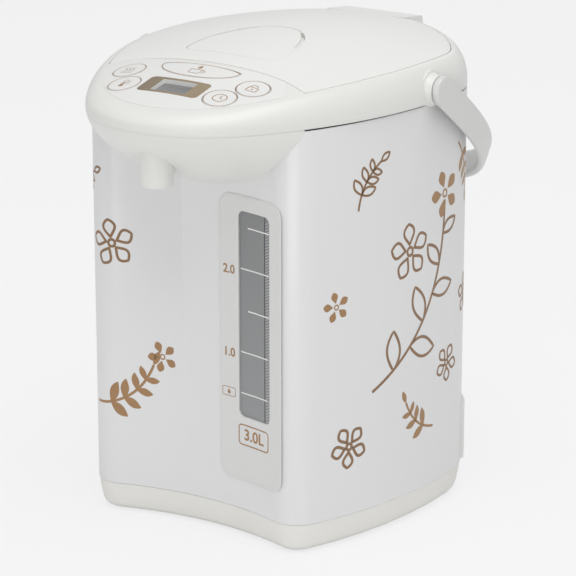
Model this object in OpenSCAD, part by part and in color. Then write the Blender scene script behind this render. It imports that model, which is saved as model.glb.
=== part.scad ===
// Electric thermo pot: a 3 litre water boiler with a motor pump, a domed hinged lid,
// a spout chin with its nozzle, a level gauge and a swinging carrying handle.
// Millimetres. +Z is up, -Y is the spout side, z = 0 is the table.

/* [Body outline] */
// Set-back of the body's own centre behind the origin
body_back = 17.8; // [17:0.1:19]
// Radius of the hollowed front face, seen from above
front_face_r = 184; // [150:1:230]
// Radius of the two front corners
front_corner_r = 17; // [14:0.5:20]
// Sideways place of the front corner centres
front_corner_x = 63; // [60:0.5:66]
// Place of the front corner centres in front of the body centre
front_corner_y = 87; // [85:0.5:89]
// Radius of the gently bowed sides
side_r = 264; // [240:1:300]
// Radius of the two rear corners
rear_corner_r = 49.7; // [48:0.1:52]
// Sideways place of the rear corner centres
rear_corner_x = 50.7; // [49:0.1:52]
// Place of the rear corner centres behind the body centre
rear_corner_y = 27; // [25:0.5:29]
// Radius of the bowed rear face
rear_face_r = 110.6; // [108:0.1:120]

/* [Heights] */
// Underside of the base above the table
foot_h = 1; // [0.8:0.1:1.5]
// Seam between the base and the painted steel shell
base_top = 19; // [18:0.5:20]
// Seam between the shell and the top housing
shell_top = 258.5; // [257:0.5:260]
// Highest point of the domed top
dome_top = 292.6; // [291:0.1:294]

/* [Domed top] */
// Radius of the rounded spout nose, seen from above
nose_r = 71.5; // [70:0.5:73]
// Place of the nose centre in front of the body centre
nose_y = 85.5; // [84:0.5:87]
// Radius of the sides of the top housing
top_side_r = 225; // [220:1:235]
// Width of the rolled-over edge
roll_w = 8.8; // [8.2:0.1:9.2]
// Height at which the edge starts to roll over
roll_z = 263; // [262:0.5:264]
// Gap round the lid
lid_gap = 0.5; // [0.4:0.1:0.7]
// Middle of the lid's front edge in front of the body centre
lid_front = 82.2; // [81.5:0.1:83]
// Front corners of the lid in front of the body centre
lid_corner = 89.7; // [89:0.1:90.5]
// Distance of the lid seam from the rim, elsewhere
lid_inset = 10; // [9.8:0.1:10.5]

/* [Water container] */
// Inner radius, which with the level marks gives 3 litres
tank_r = 79; // [78:0.5:79.5]
// Level of the empty mark
tank_floor = 66.5; // [66:0.5:68]
// Rim height
tank_top = 250; // [249:0.5:250.5]
// Place of the container axis behind the body centre
tank_back = 10; // [9:0.5:11]
// Radius of the filling mouth
mouth_r = 71; // [69:0.5:72]

/* [Handle] */
// Height of the two handle pivots
pivot_z = 266; // [265.8:0.1:267]
// Sideways place of the middle of each arm
arm_x = 107.2; // [107:0.1:108]
// Length from the pivots to the middle of the grip
handle_len = 139.5; // [138:0.5:143]
// Angle below the horizontal at which the handle hangs behind the pot
hang_angle = 35; // [34:0.5:36]
// Width of the band
band_w = 18; // [17:0.5:19]
// Thickness of the band at the arms
band_t = 4.6; // [4:0.1:5]
// Thickness of the band at the grip
grip_t = 8; // [7:0.5:9]
// Radius of each pivot stub
stub_r = 4.5; // [4:0.1:5]

/* [Controls] */
// Slope of the front deck, which the keys follow
deck_tilt = 12; // [11:0.5:13]
// Radius of the round keys
key_r = 10; // [9.5:0.1:10.4]
// Free gap round a key
key_gap = 0.35; // [0.3:0.05:0.5]

/* [Spout] */
// Radius of the nozzle
nozzle_r = 9.6; // [9:0.1:10]
// Place of the nozzle in front of the body centre
nozzle_y = 137; // [136:0.5:138]
// Lowest point of the nozzle
nozzle_z = 223; // [221:0.5:225]
// Depth of the chin below the seam
chin_h = 42; // [40:0.5:44]

/* [Hidden] */
$fn = 64;

plastic_white = [0.93, 0.93, 0.92];
shell_white = [0.95, 0.95, 0.95];
base_grey = [0.83, 0.82, 0.80];
panel_grey = [0.86, 0.87, 0.87];
bronze = [0.60, 0.50, 0.38];
steel = [0.72, 0.72, 0.73];
rubber_grey = [0.75, 0.74, 0.72];
smoke = [0.5, 0.52, 0.54];
board_green = [0.16, 0.36, 0.22];
copper = [0.72, 0.45, 0.2];

wall = 2.5;
shell_t = 1;
running = 0.05;
eps = 0.01;
nose = [0, -nose_y];
rear_corner = [rear_corner_x, rear_corner_y];
front_corner = [front_corner_x, -front_corner_y];

// ---- outlines seen from above, made of arcs that touch ----
function direction(v) = atan2(v[1], v[0]);
function arc(c, r, from, to, n, first = 1) =
    [for (i = [first : n]) let (a = from + (to - from) * i / n) c + r * [cos(a), sin(a)]];
// centre of the arc of radius R that touches two circles from outside them
function side_centre(c1, r1, c2, r2, R) =
    let (d = c2 - c1, l = norm(d), a = R - r1, b = R - r2,
         m = (a * a - b * b + l * l) / (2 * l), h = sqrt(a * a - m * m))
    c1 + d / l * m + [-d[1], d[0]] / l * h;
function rear_centre() =
    [0, rear_corner_y - sqrt(pow(rear_face_r - rear_corner_r, 2) - pow(rear_corner_x, 2))];
function face_centre() =
    [0, -front_corner_y - sqrt(pow(front_face_r + front_corner_r, 2) - pow(front_corner_x, 2))];
// side, rear corner and rear face, which the body and the top housing share
function back_half(s, R, g, from, steps) =
    let (b = rear_centre(), to = direction(rear_corner - s), turn = direction(rear_corner - b))
    concat(arc(s, R + g, from, to, steps), arc(rear_corner, rear_corner_r + g, to, turn, 8),
           arc(b, rear_face_r + g, turn, 90, 5));
function mirrored(half) =
    concat(half, [for (i = [len(half) - 2 : -1 : 1]) [-half[i][0], half[i][1]]]);
// body outline, grown by g
function body_outline(g = 0) =
    let (f = face_centre(), turn = direction(front_corner - f),
         s = side_centre(front_corner, front_corner_r, rear_corner, rear_corner_r, side_r))
    mirrored(concat(
        arc(f, front_face_r - g, 90, turn, 6, 0),
        arc(front_corner, front_corner_r + g, turn - 180, direction(front_corner - s), 7),
        back_half(s, side_r, g, direction(front_corner - s), 6)));
// outline of the top housing with its rounded nose, grown by g; a point falls on the lid's corner
nose_steps = 10;
corner_steps = 3;
top_side = side_centre(nose, nose_r, rear_corner, rear_corner_r, top_side_r);
corner_turn = asin((-lid_corner - top_side[1]) / (top_side_r - lid_inset));
nose_turn = direction(nose - top_side);
function nose_half(g, turn) =
    concat(arc(nose, nose_r + g, -90, nose_turn, nose_steps, 0),
           arc(top_side, top_side_r + g, nose_turn, turn, corner_steps));
function top_outline(g = 0) = mirrored(concat(
    nose_half(g, corner_turn), back_half(top_side, top_side_r, g, corner_turn, 7)));
// height of the dome above a point: a shallow bowl, flatter from front to back
dome_back = 5;
dome_side_bend = 0.00143;
dome_long_bend = 0.00095;
function dome(p, drop = 0) =
    dome_top - drop - dome_side_bend * p[0] * p[0] - dome_long_bend * pow(p[1] - dome_back, 2);

// ---- solids ----
// Loops of points run anticlockwise from above and are listed from the top down or outwards. A cap
// fans out from the middle point of its loop, which sees all of it past a hollow front.
module loft(loops, ring = false) {
    n = len(loops[0]);
    m = len(loops);
    mid = floor(n / 2);
    bands = [for (j = [0 : m - (ring ? 1 : 2)], i = [0 : n - 1])
        let (a = j * n + i, b = j * n + (i + 1) % n, k = (j + 1) % m * n)
        each [[a, b, k + (i + 1) % n], [a, k + (i + 1) % n, k + i]]];
    caps = ring ? [] : [[for (i = [0 : n - 1]) (mid - i + n) % n],
                        [for (i = [0 : n - 1]) (m - 1) * n + (mid + i) % n]];
    polyhedron([for (l = loops) each l], concat(bands, caps));
}
function at_height(pts, z) = [for (p = pts) [p[0], p[1], z]];
module slab(pts, from, to) translate([0, 0, from]) linear_extrude(to - from) polygon(pts);
module at_body() translate([0, body_back, 0]) children();
module tube(r, bore, from, to) difference() {
    translate([0, 0, from]) cylinder(r = r, h = to - from);
    translate([0, 0, from - 1]) cylinder(r = bore, h = to - from + 2);
}
// block under the dome over a rectangle, raised by g, as cross-sections from right to left
module dome_block(x, y, from, g = 0, nx = 6, ny = 5)
    loft([for (i = [nx : -1 : 0]) let (a = x[0] + (x[1] - x[0]) * i / nx)
        concat([[a, y[0], from], [a, y[1], from]],
               [for (j = [ny : -1 : 0]) let (b = y[0] + (y[1] - y[0]) * j / ny) [a, b, dome([a, b], -g)]])]);

// ---- base ----
base_roll = 5;
base_lean = 3.4;
function base_loop(z) =
    let (h = z - foot_h, lean = base_lean * pow(1 - h / (base_top - foot_h), 1.3),
         edge = h < base_roll ? base_roll * (1 - sqrt(1 - pow(1 - h / base_roll, 2))) : 0)
    at_height(body_outline(-0.3 - lean - edge), z);
foot_spots = [[56, -82], [-56, -82], [50, 46], [-50, 46]];
foot_r = 8;
screw_spots = [[47, -60], [-47, -60], [60, 14], [-60, 14]];
board_posts = [[-30, 48], [30, 48], [-30, 82], [30, 82]];
board_z = 13;
floor_z = foot_h + wall;
frame_z = 44;

module at_spots(spots) for (s = spots) translate([s[0], s[1], 0]) children();

module base_cover() at_body() color(base_grey) difference() {
    union() {
        difference() {
            union() {
                loft([for (z = [base_top, 14, 9, 6, 4, 2.6, 1.6, foot_h]) base_loop(z)]);
                slab(body_outline(-shell_t - 0.1), base_top - 1, base_top + 2.6);
            }
            slab(body_outline(-9), floor_z, base_top - 8);
            slab(body_outline(-5), base_top - 9, base_top - 3);
            slab(body_outline(-shell_t - 2), base_top - 4, base_top + 7);
        }
        at_spots(screw_spots) translate([0, 0, 2]) cylinder(r = 6.5, h = 4);
        at_spots(board_posts) translate([0, 0, 3]) cylinder(r = 2.5, h = board_z - 3);
    }
    at_spots(foot_spots) cylinder(r = foot_r, h = foot_h + 1.5);
    at_spots(screw_spots) {
        cylinder(r = 4.4, h = 3.4);
        cylinder(r = 2.2, h = 10);
    }
    // air slots under the motor
    for (i = [-3 : 3]) translate([i * 8 - 1.5, -8, 0]) cube([3, 40, 10]);
}
module rubber_feet() at_body() color(rubber_grey)
    at_spots(foot_spots) cylinder(r = foot_r, h = foot_h + 1.5);
module base_screws() at_body() color(steel) at_spots(screw_spots) {
    translate([0, 0, 1.4]) cylinder(r = 4, h = 2);
    translate([0, 0, 3]) cylinder(r = 2, h = 17);
}
// plate on four legs that carries the container's jacket over the pump
module lower_frame() at_body() color(panel_grey) difference() {
    union() {
        slab(body_outline(-3), frame_z, frame_z + 3);
        at_spots(screw_spots) translate([0, 0, 6]) cylinder(r = 5, h = frame_z - 5);
    }
    at_spots(screw_spots) translate([0, 0, 5]) cylinder(r = 2, h = 15);
    translate([pump[0], pump[1], 40]) cylinder(r = 8.4, h = 10);
    translate([gauge_axis[0], gauge_axis[1], 40]) cylinder(r = 8, h = 10);
}

// ---- shell and gauge ----
gauge_x = 38.5;
gauge_w = 51;
gauge_z = [37.5, 213.5];
window_x = 40.8;
window_w = 25.5;
window_z = [78, 204];
rib_in = 6;
gauge_axis = [41, -88.5];
gauge_r = 4;

// an upright opening with round corners, cut square to the front face's middle
module face_opening(x, w, z, r)
    translate([x, -130, 0]) rotate([-90, 0, 0]) linear_extrude(60) union() {
        translate([-w / 2 + r, -z[1]]) square([w - 2 * r, z[1] - z[0]]);
        translate([-w / 2, -z[1] + r]) square([w, z[1] - z[0] - 2 * r]);
        for (i = [-1, 1], h = [z[0] + r, z[1] - r]) translate([i * (w / 2 - r), -h]) circle(r);
    }
// a sheet that follows the body outline between two growths
module skin(inner, outer, from = 20, to = 250) difference() {
    slab(body_outline(outer), from, to);
    slab(body_outline(inner), from - 1, to + 1);
}
module outer_shell() at_body() color(shell_white) difference() {
    slab(body_outline(), base_top, shell_top);
    slab(body_outline(-shell_t), base_top - 1, shell_top + 1);
    face_opening(gauge_x, gauge_w - 2 * rib_in, [gauge_z[0] + rib_in, gauge_z[1] - rib_in], 6);
    translate([-14, -120, shell_top - 19]) cube([66, 60, 30]);
    receptacle_box(0);
}
module gauge_panel() at_body() color(panel_grey) difference() {
    union() {
        intersection() {
            skin(0, 0.9);
            face_opening(gauge_x, gauge_w, gauge_z, 9);
        }
        intersection() {
            skin(-2.6, eps);
            face_opening(gauge_x, gauge_w - 2 * rib_in, [gauge_z[0] + rib_in, gauge_z[1] - rib_in], 6);
        }
    }
    face_opening(window_x, window_w, window_z, 4);
}
module gauge_window() at_body() color([0.6, 0.62, 0.64, 0.5]) intersection() {
    skin(-2.2, -0.6);
    face_opening(window_x, window_w, window_z, 4);
}
module gauge_tube() at_body() color([0.85, 0.9, 0.92, 0.5]) translate([gauge_axis[0], gauge_axis[1], 0])
    tube(gauge_r, gauge_r - 1, 56, 222);
// channel behind the window, which the tube runs through
module gauge_backing() at_body() color(smoke) difference() {
    intersection() {
        skin(-15, -2.7);
        face_opening(window_x, window_w + 6, [window_z[0] - 5, window_z[1] + 5], 2);
    }
    intersection() {
        skin(-13.6, -2);
        face_opening(window_x, window_w + 2, [window_z[0] - 3, window_z[1] + 3], 2);
    }
    translate([gauge_axis[0], gauge_axis[1], 60]) cylinder(r = gauge_r + 0.4, h = 160);
}

// ---- plug receptacle on the rear right corner ----
plug_angle = 48;
plug_z = [20, 57];
module at_receptacle()
    translate([rear_corner_x, rear_corner_y, 0]) rotate([0, 0, plug_angle]) children();
module receptacle_box(g) at_receptacle()
    translate([rear_corner_r - 11, -14 - g, 22 - g]) cube([30, 28 + 2 * g, 21.5 + 2 * g]);
module plug_receptacle() at_body() color(plastic_white) difference() {
    union() {
        intersection() {
            skin(0, 2, plug_z[0], plug_z[1]);
            at_receptacle() translate([0, -18, 0]) cube([80, 36, 80]);
        }
        intersection() {
            slab(body_outline(1), 10, 50);
            receptacle_box(0);
        }
    }
    at_receptacle() translate([rear_corner_r - 8.5, -11, 24.5]) cube([20, 22, 16.5]);
}
module receptacle_pins() at_body() color(steel) at_receptacle() for (i = [-1, 1])
    translate([rear_corner_r - 8.5, i * 6, 34]) rotate([0, 90, 0]) cylinder(r = 1.6, h = 5.5);

// ---- top housing ----
lid_focus = [0, 10];
corner_x = top_side[0] + (top_side_r - lid_inset) * cos(corner_turn);
// share t of the ray d from the focus at which it meets the lid's bowed front edge
function front_share(d, g, t = 1, left = 6) =
    left == 0 ? t : front_share(d, g, (lid_focus[1] + lid_front + g
        + (lid_corner - lid_front) * pow(d[0] * t / corner_x, 4)) / -d[1], left - 1);
function lid_point(p, g) =
    let (d = p - lid_focus, near = -d[1] > abs(d[0])) lid_focus + d * (near ? min(front_share(d, g), 1) : 1);
function lid_outline(g = 0) = [for (p = top_outline(g - lid_inset)) lid_point(p, g)];
// a loop between the lid opening and the crown, at fraction f
function deck_loop(f, drop = 0, edge = 0, inset = 0) =
    let (a = lid_outline(edge), b = top_outline(inset - roll_w))
    [for (i = [0 : len(a) - 1]) let (p = a[i] * (1 - f) + b[i] * f) [p[0], p[1], dome(p, drop)]];
// a loop on the rolled-over edge, t from 0 at the crown to 90 at the wall
function roll_loop(t, inner = 0) =
    let (a = top_outline(inner * 0.16 - roll_w), b = top_outline(-inner))
    [for (i = [0 : len(a) - 1])
        let (p = a[i] + (b[i] - a[i]) * sin(t), full = dome(b[i], inner) - roll_z)
        [p[0], p[1], dome(p, inner) - full * (1 - cos(t))]];
deck_steps = [0, 0.06, 0.36, 0.66, 0.95, 1];
lip = 1.2;
ledge_z = 266;
boss_r = 7.4;
boss_x = 104.2;
stub_end = 93.3;
unlock_spot = [43.6, -103.4];
timer_spot = [33.5, -122];
reboil_spot = [-43.6, -103.4];
heat_spot = [-33.5, -122];
display_spot = [0, -119.6];
round_keys = [unlock_spot, timer_spot, reboil_spot, heat_spot];
hinge_y = 91;
hinge_z = 276;
hinge_r = 18.2;
hinge_w = 56;
hinge_slope = 0.11;
post_spots = [[0, -133], [37, -92], [-37, -92]];
board_gap = 14;

module on_deck(p) translate([p[0], p[1], dome(p)]) rotate([deck_tilt, 0, 0]) children();
// depth of the control board's face below a point of the deck
function board_depth(p) = board_gap + cos(deck_tilt)
    * (dome(p) - dome(display_spot) - tan(deck_tilt) * (p[1] - display_spot[1]));
module hinge_barrel(g) translate([-hinge_w / 2 - g, hinge_y, hinge_z]) rotate([0, 90, 0])
    cylinder(r = hinge_r + g, h = hinge_w + 2 * g);
// room for the barrel, open to the top and the rear
module hinge_saddle(g) translate([-hinge_w / 2 - g, hinge_y, hinge_z]) rotate([90, 0, 90])
    linear_extrude(hinge_w + 2 * g) union() {
        circle(hinge_r + g);
        translate([-7, 0]) square([40, 30]);
    }
// half-moon outline of the dispense key, in the deck's own plane about its middle
function dispense_outline(g = 0) =
    let (w = 27 + g, back = 8.5 + g, front = 9.5 + g)
    concat([for (i = [0 : 12]) let (a = 180 + i * 15) [w * cos(a), back - 4 + (front + back - 4) * sin(a)]],
           [for (i = [1 : 5]) let (a = i * 30) [w * cos(a), back - 4 + 4 * sin(a)]]);
dispense_spot = [0, -96.2];

module top_housing() at_body() color(plastic_white) difference() {
    union() {
        loft(concat(
            [at_height(lid_outline(), ledge_z)],
            [for (f = deck_steps) deck_loop(f)],
            [for (t = [20, 38, 54, 68, 80, 90]) roll_loop(t)],
            [at_height(top_outline(), shell_top), at_height(top_outline(-wall), shell_top)],
            [for (t = [90, 60, 30, 0]) roll_loop(t, wall)],
            [deck_loop(0.5, wall, lip, 0.4), deck_loop(0, wall, lip), at_height(lid_outline(lip), ledge_z)]),
            ring = true);
        for (s = [-1, 1]) {
            translate([s * (boss_x - 9), 0, pivot_z]) rotate([0, s * 90, 0]) cylinder(r = boss_r, h = 9);
            translate([s * 33.5 - 3.5, 88.2, 268]) cube([7, 7, 11.4]);
        }
        for (p = post_spots) on_deck(p) translate([0, 0, -board_depth(p)])
            cylinder(r = 2.5, h = board_depth(p) - 1.2);
    }
    for (s = [-1, 1]) translate([s * 93, 0, pivot_z]) rotate([0, s * 90, 0])
        cylinder(r = stub_r + running, h = 20);
    translate([-40, hinge_y, hinge_z]) rotate([0, 90, 0]) cylinder(r = 2, h = 80);
    for (k = round_keys) on_deck(k) translate([0, 0, -8]) cylinder(r = key_r + key_gap, h = 16);
    on_deck(dispense_spot) translate([0, 0, -8]) linear_extrude(16) polygon(dispense_outline(key_gap));
    on_deck(display_spot) translate([-13, -8.2, -8]) cube([26, 16.4, 16]);
    translate([-8, -86, slide_z[0] - 0.7]) cube([16, 12, 4.4]);
    hinge_saddle(0.6);
}
// flat frame inside the top that closes the space round the mouth
module mouth_frame() at_body() color(panel_grey) difference() {
    union() {
        intersection() {
            slab(top_outline(-wall - 0.5), ledge_z - 5, ledge_z - 2);
            translate([-120, -84, 0]) cube([240, 240, 300]);
        }
        translate([0, tank_back, tank_top + 3.5]) cylinder(r = mouth_r + 6, h = ledge_z - tank_top - 5.5);
    }
    translate([0, tank_back, tank_top]) cylinder(r = mouth_r + 3, h = 40);
    translate([gauge_axis[0], gauge_axis[1], 240]) cylinder(r = 10, h = 40);
    hinge_barrel(1);
    for (s = [-1, 1]) translate([s * 90, 0, pivot_z]) rotate([0, s * 90, 0]) cylinder(r = 10, h = 30);
}

// ---- control panel ----
sheet_t = 0.4;
sheet_reach = nose_steps + corner_steps - 1;
// strip over the front deck: cross-sections from the left end to the right
module sheet_strip(g_low, g_high) {
    n = len(top_outline());
    rows = [for (j = [1 : 4]) deck_loop(deck_steps[j])];
    sections = [for (i = [sheet_reach : -1 : -sheet_reach])
        let (k = (i + n) % n, low = [for (j = [0 : 3]) rows[j][k] + [0, 0, g_low]])
        concat([low[1], low[0]], [for (j = [0 : 3]) rows[j][k] + [0, 0, g_high]], [low[3], low[2]])];
    loft(sections);
}
module control_sheet() at_body() color([0.92, 0.92, 0.91]) difference() {
    sheet_strip(0, sheet_t);
    for (k = round_keys) on_deck(k) translate([0, 0, -8]) cylinder(r = key_r + key_gap, h = 16);
    on_deck(dispense_spot) translate([0, 0, -8]) linear_extrude(16) polygon(dispense_outline(key_gap));
    on_deck(display_spot) translate([-13, -8.2, -8]) cube([26, 16.4, 16]);
}
key_depth = 4.8;
collar = key_gap + 0.15;
// top of a key: its prism cut by the dome, then a collar under the deck and a stem
module key_top(p, half) intersection() {
    on_deck(p) translate([0, 0, -key_depth]) linear_extrude(12) children();
    dome_block([p[0] - half[0], p[0] + half[0]], [p[1] - half[1], p[1] + half[1]], 255, sheet_t + 0.15);
}
module round_key(p) at_body() color(plastic_white) {
    key_top(p, [12, 13]) circle(key_r);
    on_deck(p) {
        translate([0, 0, -key_depth - 1]) cylinder(r = key_r + collar, h = 1.1);
        translate([0, 0, -7.4]) cylinder(r = 2, h = 2);
    }
}
module dispense_key() at_body() color(plastic_white) {
    key_top(dispense_spot, [29, 12]) polygon(dispense_outline());
    on_deck(dispense_spot) {
        translate([0, 0, -key_depth - 1]) linear_extrude(1.1) polygon(dispense_outline(collar + 0.2));
        translate([0, 0, -7.4]) cylinder(r = 2, h = 2);
    }
}
module unlock_key() round_key(unlock_spot);
module timer_key() round_key(timer_spot);
module reboil_key() round_key(reboil_spot);
module temperature_key() round_key(heat_spot);
module key_switches() at_body() color(smoke) for (p = concat(round_keys, [dispense_spot])) on_deck(p) {
    translate([-3, -3, -board_depth(p)]) cube([6, 6, 3]);
    translate([0, 0, 3 - board_depth(p)]) cylinder(r = 1.5, h = board_depth(p) - 11.1);
}
module control_board() at_body() color(board_green)
    on_deck(display_spot) translate([0, 0, -board_gap - 1.6]) linear_extrude(1.6)
        polygon([[-46, -8], [-26, -20], [26, -20], [46, -8], [50, 31], [-50, 31]]);
module display_frame() at_body() color(bronze) difference() {
    union() {
        intersection() {
            on_deck(display_spot) translate([0, 0, -3]) linear_extrude(8) union() {
                square([42, 12.6], center = true);
                square([36, 18.6], center = true);
                for (i = [-1, 1], j = [-1, 1]) translate([i * 18, j * 6.3]) circle(3);
            }
            dome_block([-22, 22], [-130, -109], 255, sheet_t + 0.6, 4, 3);
            difference() {
                translate([-30, -140, 255]) cube([60, 50, 40]);
                dome_block([-24, 24], [-132, -107], 250, sheet_t + 0.1, 4, 3);
            }
        }
        on_deck(display_spot) translate([-13, -8.2, -4]) cube([26, 16.4, 4]);
    }
    on_deck(display_spot) translate([-12, -7.2, -6]) cube([24, 14.4, 12]);
}
module display_module() at_body() color(smoke)
    on_deck(display_spot) translate([-14, -9, -8]) cube([28, 18, 4]);

// ---- lid ----
lever_spot = [0, -54];
lever_w = 32.6;
lever_back = 49.6;
lever_front = 13;
lever_t = 3;
lever_pivot = [-62, 284.4];
lever_gap = 0.5;
lever_depth = 3.8;
// rounded shield: half an ellipse behind, a flatter front edge with round corners
function lever_outline(g = 0) = [for (i = [0 : 39])
    let (a = i * 9, s = sin(a), c = cos(a))
    i < 20 ? [(lever_w + g) * c, lever_spot[1] + (lever_back + g) * s]
           : [(lever_w + g) * sign(c) * pow(abs(c), 0.35),
              lever_spot[1] - (lever_front + 1.8 * g) * pow(abs(s), 0.5)]];
function lever_loop(s, drop, g = 0) =
    [for (p = lever_outline(g)) let (q = lever_spot + (p - lever_spot) * s) [q[0], q[1], dome(q, drop)]];
function lid_loop(s, drop = 0, g = -lid_gap) =
    [for (p = lid_outline(g)) let (q = lid_focus + (p - lid_focus) * s) [q[0], q[1], dome(q, drop)]];
// a small round loop at the middle of the lid's top
function lid_hub(r) =
    [for (p = lid_outline()) let (d = p - lid_focus, q = lid_focus + d * r / norm(d)) [q[0], q[1], dome(q)]];
slide_z = [270, 273];
// The wall of the lid at height h, from 1 at its top to 0 at the hinge's level. At the back it
// keeps to a circle round the hinge, so that it swings past the housing's lip.
function lid_wall(h) = [for (p = lid_outline(-lid_gap))
    let (rise = dome(p) - hinge_z, near = hinge_y - p[1],
         y = p[1] > 0 ? hinge_y - sqrt(near * near + rise * rise * (1 - h * h)) : p[1] + 0.8 * (1 - h))
    [p[0] * (1 - 0.008 * (1 - h)), y, hinge_z + rise * h]];

module lid_cover() at_body() color(plastic_white) difference() {
    loft([lid_hub(4), lid_loop(0.25), lid_loop(0.5), lid_loop(0.75), lid_loop(1),
          lid_wall(0.94), lid_wall(0.75), lid_wall(0.4), lid_wall(0),
          at_height(lid_wall(0), ledge_z + 0.4)]);
    loft([lever_loop(1, -2, lever_gap), lever_loop(1, lever_depth, lever_gap),
          lever_loop(0.5, lever_depth, lever_gap), lever_loop(0.04, lever_depth, lever_gap)]);
    // room for the front of the lever as it dips, its arm, its pin and the fingers
    intersection() {
        slab(lever_outline(lever_gap), 280.2, 295);
        translate([-40, -76, 270]) cube([80, 18.5, 30]);
    }
    translate([-4.6, -66, 268]) cube([9.2, 13, 14]);
    for (s = [-1, 1]) translate([s * 11.8, -31.6, 284.4]) cylinder(r = 20.2, h = 11);
    translate([-30, lever_pivot[0], lever_pivot[1]]) rotate([0, 90, 0]) cylinder(r = 1.5, h = 60);
    // channel for the latch slide, open to the front
    translate([-10.4, -74, slide_z[0] - 0.3]) cube([20.8, 28, 3.6]);
    translate([-7.4, -90, slide_z[0] - 0.3]) cube([14.8, 20, 3.6]);
    translate([-hinge_w / 2, hinge_y - 6.5, 200]) cube([hinge_w, 40, 120]);
}
module lid_lever() at_body() color(plastic_white) difference() {
    union() {
        loft([lever_loop(0.05, 0), lever_loop(0.5, 0), lever_loop(0.97, 0), lever_loop(1, 0.5),
              lever_loop(1, lever_t), lever_loop(0.5, lever_t), lever_loop(0.05, lever_t)]);
        translate([-14, lever_pivot[0], lever_pivot[1]]) rotate([0, 90, 0]) cylinder(r = 2.8, h = 28);
        translate([-4, lever_pivot[0] - 1.5, 271.4]) cube([8, 3, 13]);
    }
    translate([-30, lever_pivot[0], lever_pivot[1]]) rotate([0, 90, 0]) cylinder(r = 1.5 + running, h = 60);
    translate([14.2, lever_pivot[0], lever_pivot[1]]) rotate([0, 90, 0]) cylinder(r = 2.6, h = 4.2);
}
module lever_pin() at_body() color(steel)
    translate([-22, lever_pivot[0], lever_pivot[1]]) rotate([0, 90, 0]) cylinder(r = 1.5, h = 44);
// coils of the return spring, wound round the pin beside the hub
module lever_spring() at_body() color(steel) for (i = [0 : 4])
    translate([14.8 + i * 0.65, lever_pivot[0], lever_pivot[1]]) rotate([0, 90, 0])
        rotate_extrude() translate([1.82, 0]) circle(0.3);
module latch_slide() at_body() color([0.8, 0.8, 0.78]) difference() {
    union() {
        translate([-10, -71, slide_z[0]]) cube([20, 21, 3]);
        translate([-7, -81.2, slide_z[0]]) cube([14, 12, 3]);
    }
    translate([-4.5, lever_pivot[0] - 1.5 - 0.5, slide_z[0] - 1]) cube([9, 3 + 1, 5]);
}
module inner_lid() at_body() color(panel_grey) translate([0, tank_back, 0]) difference() {
    union() {
        translate([0, 0, tank_top + 6]) cylinder(r = 69, h = ledge_z + 0.4 - tank_top - 6);
        translate([0, 0, tank_top + 3.5]) cylinder(r = 66, h = 3);
    }
    translate([0, 0, tank_top + 8]) cylinder(r = 66, h = 20);
    translate([0, 20, tank_top]) cylinder(r = 5, h = 20);
}
module lid_gasket() at_body() color(rubber_grey) translate([0, tank_back, 0])
    tube(71.5, 66, tank_top + 2.8, tank_top + 6);
module steam_vent() at_body() color(panel_grey) translate([0, tank_back + 20, 0]) difference() {
    union() {
        translate([0, 0, tank_top + 0.5]) cylinder(r = 12, h = 3);
        translate([0, 0, tank_top + 3]) cylinder(r = 5, h = 8);
    }
    translate([0, 0, tank_top + 1.5]) cylinder(r = 3.5, h = 20);
    for (i = [0 : 5]) rotate([0, 0, i * 60]) translate([8, 0, tank_top]) cylinder(r = 1.4, h = 6);
}
// barrel-shaped hinge end of the lid, which turns in the saddle of the housing
module hinge_cover() at_body() color(plastic_white) difference() {
    intersection() {
        hinge_barrel(0);
        translate([-40, hinge_y - 6.5, dome([0, hinge_y - 6.5]) - 0.4]) rotate([-atan(hinge_slope), 0, 0])
            translate([0, 0, -60]) cube([80, 60, 60]);
        translate([-40, hinge_y - 6.5, 200]) cube([80, 60, 120]);
    }
    translate([-40, hinge_y, hinge_z]) rotate([0, 90, 0]) cylinder(r = 2 + running, h = 80);
}
module hinge_pin() at_body() color(steel)
    translate([-35, hinge_y, hinge_z]) rotate([0, 90, 0]) cylinder(r = 2, h = 70);

// ---- spout ----
chin_back = -90;
// outline of the chin at the seam, closed inside the body
function chin_outline(g) =
    let (half = nose_half(g, asin((chin_back - top_side[1]) / (top_side_r + g))), e = half[len(half) - 1])
    mirrored(concat(half, [[e[0] * 0.9, chin_back + 8], [0, chin_back + 8]]));
// a loop of the chin's bowl, a from 0 at the seam to 90 at the lowest point
function chin_loop(a, inner = 0) =
    let (u = sin(a), deep = pow(1 - pow(u, 1.4), 1 / 1.4),
         z = shell_top + (inner > 0 ? 1 : 0) - (chin_h - inner) * u)
    [for (p = chin_outline(-0.4 - inner))
        [p[0] * cos(a), p[1] > chin_back ? p[1] : chin_back + (p[1] - chin_back) * deep, z]];
module spout_cover() at_body() color(plastic_white) difference() {
    loft([for (a = [0, 8, 17, 27, 38, 50, 62, 74, 86]) chin_loop(a)]);
    loft([for (a = [0, 20, 40, 60, 78]) chin_loop(a, 2.2)]);
    slab(body_outline(), 200, shell_top + 2);
    translate([0, -nozzle_y, 200]) cylinder(r = nozzle_r, h = 46.5);
}
module spout_nozzle() at_body() color(plastic_white) translate([0, -nozzle_y, nozzle_z])
    rotate_extrude() difference() {
        union() {
            translate([0, 2.5]) square([nozzle_r, 21]);
            square([nozzle_r - 2.5, 5]);
            translate([nozzle_r - 2.5, 2.5]) circle(2.5);
        }
        translate([-20, -1]) square([24.5, 40]);
    }
pipe_z = 253;
pipe_bend = 6;
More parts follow.
